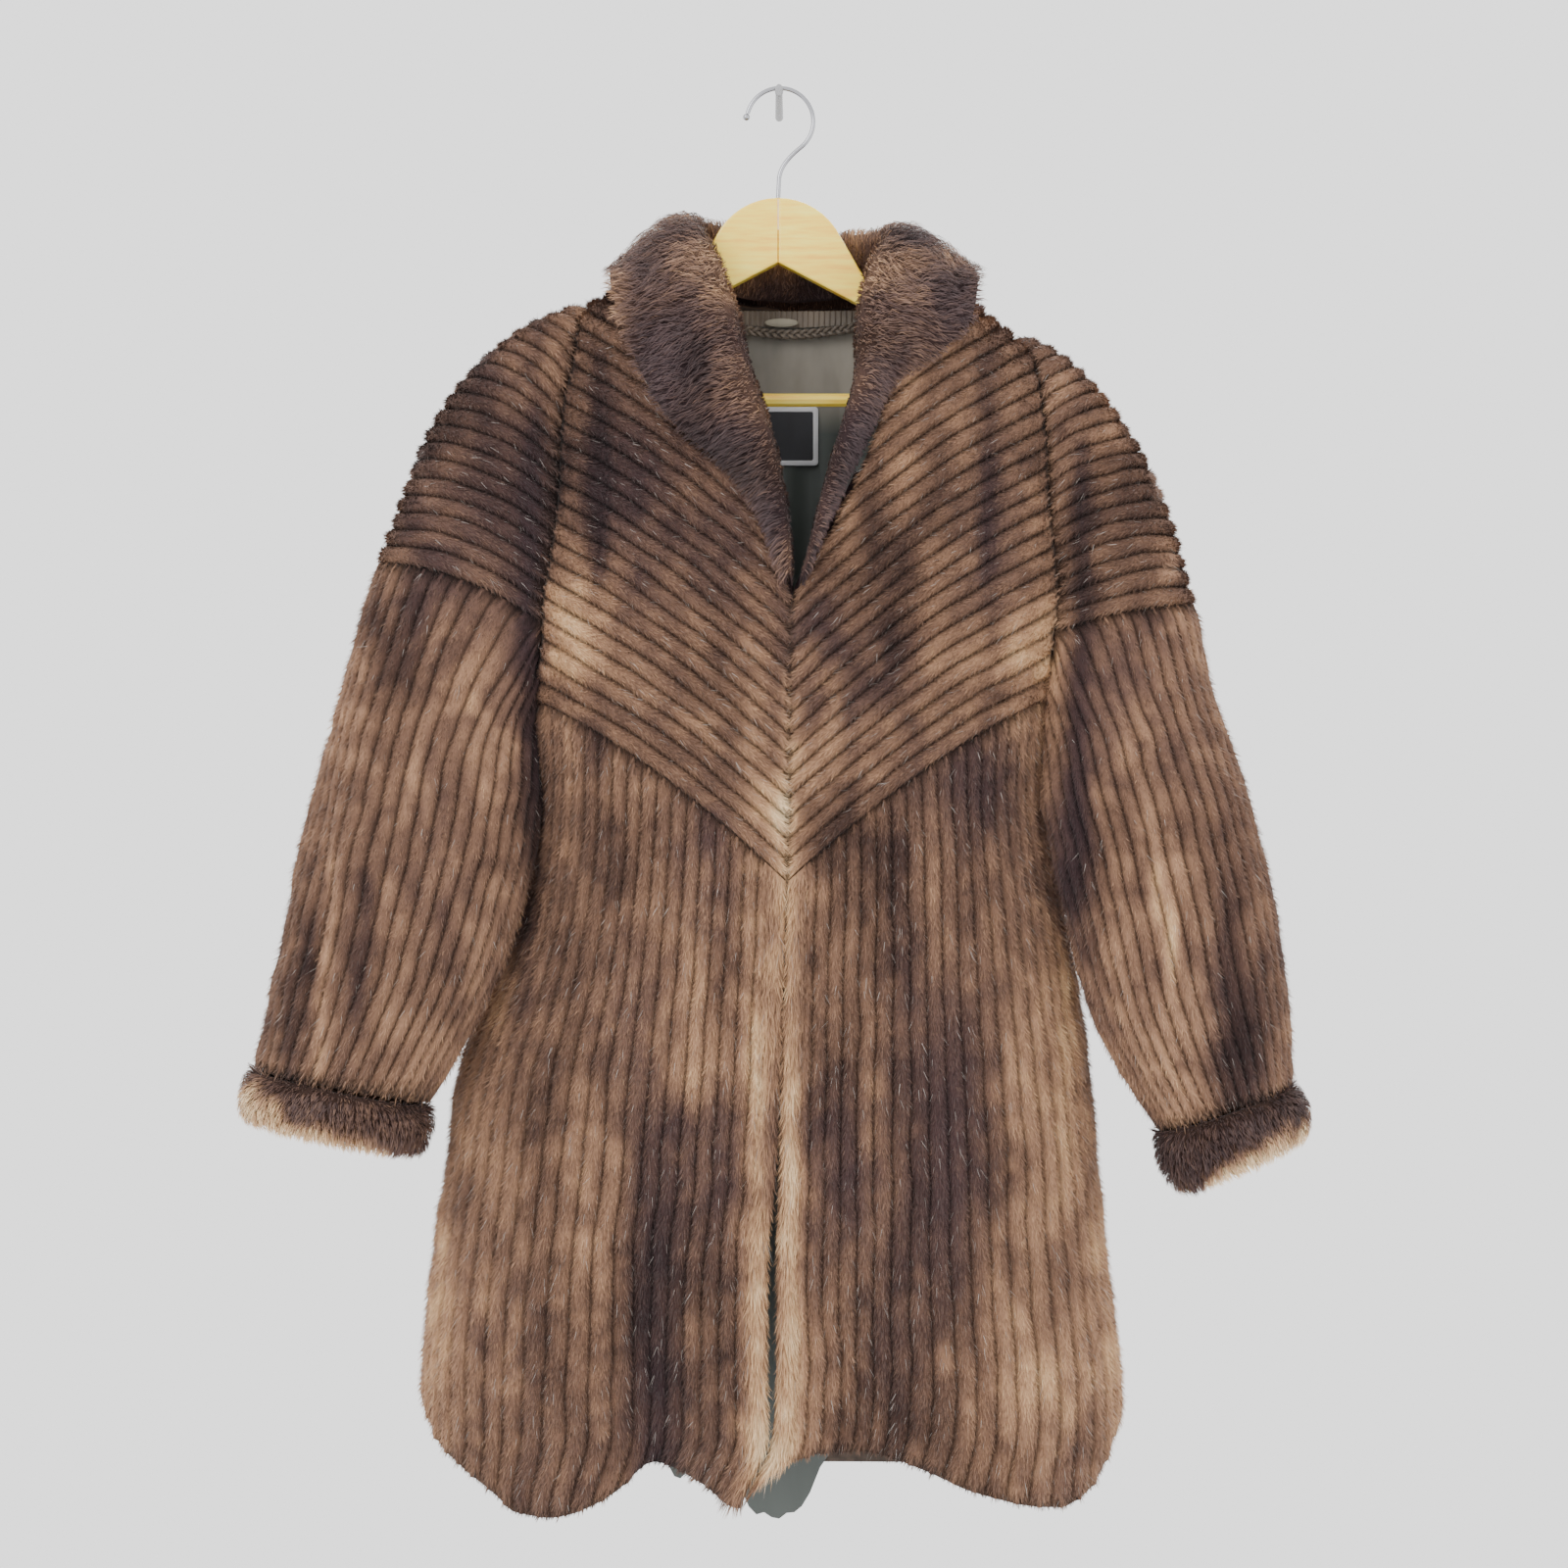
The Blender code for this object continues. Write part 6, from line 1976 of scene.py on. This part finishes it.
CAMERA_AT = (0.00365, -2.2, -0.5165)
VIEW_WIDTH = 1.168       # seen at the coat's middle
FLOOR_RADIUS = 0.75
FLOOR_Z = -1.35
FLOOR_SIDES = 96
AIM = (0, 0, -0.5)       # what the lights face
# Lights: name, place, size, and power by the main light's.
LIGHTS = (
    ("key", (-1.3, -1.9, 0.9), 1.3, 1.0),
    ("fill", (1.9, -1.5, -0.1), 1.6, 0.35),
    ("rim", (0.6, 1.6, 0.8), 1.2, 0.4),
)


def make_camera():
    """The photo's view: straight on, at the height of the coat's middle."""
    seen = bpy.data.cameras.new("view")
    seen.angle = 2 * math.atan(VIEW_WIDTH / 2 / -CAMERA_AT[1])
    camera = add_object("view", seen)
    camera.location = CAMERA_AT
    camera.rotation_euler = (math.pi / 2, 0, 0)
    bpy.context.scene.camera = camera


def add_light(name, place, target, size, power):
    """A soft square light that faces its target."""
    lamp = bpy.data.lights.new(name, "AREA")
    lamp.size = size
    lamp.energy = power
    light = add_object(name, lamp)
    light.location = place
    away = np.array(place) - np.array(target)
    flat = math.hypot(away[0], away[1])
    light.rotation_euler = (math.atan2(flat, away[2]), 0, math.atan2(away[0], -away[1]))


def make_floor():
    """A pale round floor, below what the camera sees."""
    angle = full_turn(FLOOR_SIDES)
    points = np.stack([FLOOR_RADIUS * np.cos(angle), FLOOR_RADIUS * np.sin(angle), FLOOR_Z + 0 * angle], -1)
    mesh = bpy.data.meshes.new("floor")
    mesh.from_pydata(points, [], [list(range(FLOOR_SIDES))])
    mesh.materials.append(finish_of("floor"))
    floor = add_object("floor", mesh)


# Operators ------------------------------------------------------------------------------------------------

def hair_count(name, where, default):
    """A setting for the number of hairs on a panel."""
    return IntProperty(name=name + " hairs", description="Hairs on " + where, default=default, min=100)


def fur_length(name, what, default):
    """A setting for the length of some fur."""
    return FloatProperty(name=name, description="Length of " + what, default=default, subtype="DISTANCE")


def tint(name, what):
    """A setting for the colour that a finish is multiplied by."""
    words = f"Colour that {what} is multiplied by"
    return FloatVectorProperty(name=name, description=words, default=(1, 1, 1), min=0, max=1, subtype="COLOR")


class CoatSettings(bpy.types.PropertyGroup):
    """What can be changed about the coat's looks."""

    yoke_hairs: hair_count("Yoke", "each front yoke", 58000)
    skirt_hairs: hair_count("Skirt", "each front skirt", 95000)
    back_hairs: hair_count("Back", "the back skirt", 50000)
    back_yoke_hairs: hair_count("Back yoke", "each back yoke", 22500)
    cap_hairs: hair_count("Cap", "each sleeve cap", 38000)
    sleeve_hairs: hair_count("Sleeve", "each lower sleeve", 50000)
    collar_hairs: hair_count("Collar", "the collar", 28500)
    cuff_hairs: hair_count("Cuff", "each cuff", 8700)
    pile_length: fur_length("Pile", "the short pile", 0.0062)
    collar_length: fur_length("Collar fur", "the collar's hair", 0.016)
    cuff_length: fur_length("Cuff fur", "the cuffs' hair", 0.010)
    fur_tint: tint("Fur tint", "the pelts' colour")
    satin_tint: tint("Satin tint", "the satin of lining, trims and label")
    wood_tint: tint("Wood tint", "the hanger's wood")
    light_power: FloatProperty(
        name="Light", description="Power of the main light", default=34.0, min=0.0, subtype="POWER",
    )
    surround: FloatProperty(
        name="Surround", description="Strength of the white surround", default=1.9, min=0.0,
    )


class COAT_OT_fronts(bpy.types.Operator):
    """Front yokes with chevron cords and front skirts with upright cords"""

    bl_idname = "coat.fronts"
    bl_label = "Fronts"

    def execute(self, context):
        chosen = settings_of(context)
        for side in SIDES:
            make_panel("front_yoke", side, yoke_surface(side, "front"), chosen, uphill=True)
            skirt = front_skirt_surface(side)
            make_panel("front_skirt", side, skirt, chosen, band=EDGE_BAND, faint=SKIRT_FAINT)
        return {"FINISHED"}


class COAT_OT_backs(bpy.types.Operator):
    """Back yokes and the back skirt"""

    bl_idname = "coat.backs"
    bl_label = "Backs"

    def execute(self, context):
        chosen = settings_of(context)
        for side in SIDES:
            make_panel("back_yoke", side, yoke_surface(side, "back"), chosen, uphill=True)
        make_panel("back_skirt", None, back_skirt_surface, chosen, faint=SKIRT_FAINT)
        return {"FINISHED"}


class COAT_OT_sleeves(bpy.types.Operator):
    """Sleeve caps, lower sleeves and long-haired cuffs"""

    bl_idname = "coat.sleeves"
    bl_label = "Sleeves"

    def execute(self, context):
        chosen = settings_of(context)
        for side in SIDES:
            make_panel("sleeve_cap", side, cap_surface(side), chosen, droop=CAP_DROOP)
            make_panel("sleeve_lower", side, sleeve_surface(side), chosen, closed=True, faint=SLEEVE_FAINT)
            make_cuff_piece(side, chosen)
        return {"FINISHED"}


class COAT_OT_collar(bpy.types.Operator):
    """Long-haired shawl collar and the dark facings inside the neck"""

    bl_idname = "coat.collar"
    bl_label = "Collar"

    def execute(self, context):
        make_collar_piece(settings_of(context))
        for side in SIDES:
            make_facing_piece(side)
        return {"FINISHED"}


class COAT_OT_lining(bpy.types.Operator):
    """Satin lining with its neck strip, braid, tab and label"""

    bl_idname = "coat.lining"
    bl_label = "Lining"

    def execute(self, context):
        make_lining_piece([make_braid_piece()])
        make_strip_piece()
        make_tab_piece()
        make_label_piece()
        return {"FINISHED"}


class COAT_OT_hanger(bpy.types.Operator):
    """Wooden hanger, wire hook and wall peg"""

    bl_idname = "coat.hanger"
    bl_label = "Hanger"

    def execute(self, context):
        finish_wood()
        make_hook_pieces()
        make_peg_piece()
        return {"FINISHED"}


class COAT_OT_stage(bpy.types.Operator):
    """Floor, lights and white surround"""

    bl_idname = "coat.stage"
    bl_label = "Stage"

    def execute(self, context):
        chosen = settings_of(context)
        make_floor()
        for name, place, size, share in LIGHTS:
            add_light(name, place, AIM, size, chosen.light_power * share)
        world = bpy.data.worlds.new("white")
        world.use_nodes = True
        back = world.node_tree.nodes["Background"]
        back.inputs["Color"].default_value = (1, 1, 1, 1)
        back.inputs["Strength"].default_value = chosen.surround
        context.scene.world = world
        return {"FINISHED"}


class COAT_PT_panel(bpy.types.Panel):
    """The coat's settings and its makers, in the sidebar"""

    bl_idname = "COAT_PT_panel"
    bl_label = "Corded Fur Coat"
    bl_space_type = "VIEW_3D"
    bl_region_type = "UI"
    bl_category = "Coat"

    def draw(self, context):
        chosen = settings_of(context)
        column = self.layout.column(align=True)
        for name in CoatSettings.__annotations__:
            column.prop(chosen, name)
        for maker in OPERATORS:
            self.layout.operator(maker.bl_idname)


OPERATORS = (
    COAT_OT_fronts,
    COAT_OT_backs,
    COAT_OT_sleeves,
    COAT_OT_collar,
    COAT_OT_lining,
    COAT_OT_hanger,
    COAT_OT_stage,
)
CLASSES = (CoatSettings, *OPERATORS, COAT_PT_panel)


def register():
    """Adds the settings, operators and panel."""
    for kind in CLASSES:
        bpy.utils.register_class(kind)
    bpy.types.Scene.corded_coat = PointerProperty(type=CoatSettings)


def unregister():
    """Takes them away again."""
    del bpy.types.Scene.corded_coat
    for kind in reversed(CLASSES):
        bpy.utils.unregister_class(kind)


def main():
    """Makes the whole scene."""
    register()
    make_camera()
    bpy.ops.coat.fronts()
    bpy.ops.coat.backs()
    bpy.ops.coat.sleeves()
    bpy.ops.coat.collar()
    bpy.ops.coat.lining()
    bpy.ops.coat.hanger()
    bpy.ops.coat.stage()


if __name__ == "__main__":
    main()
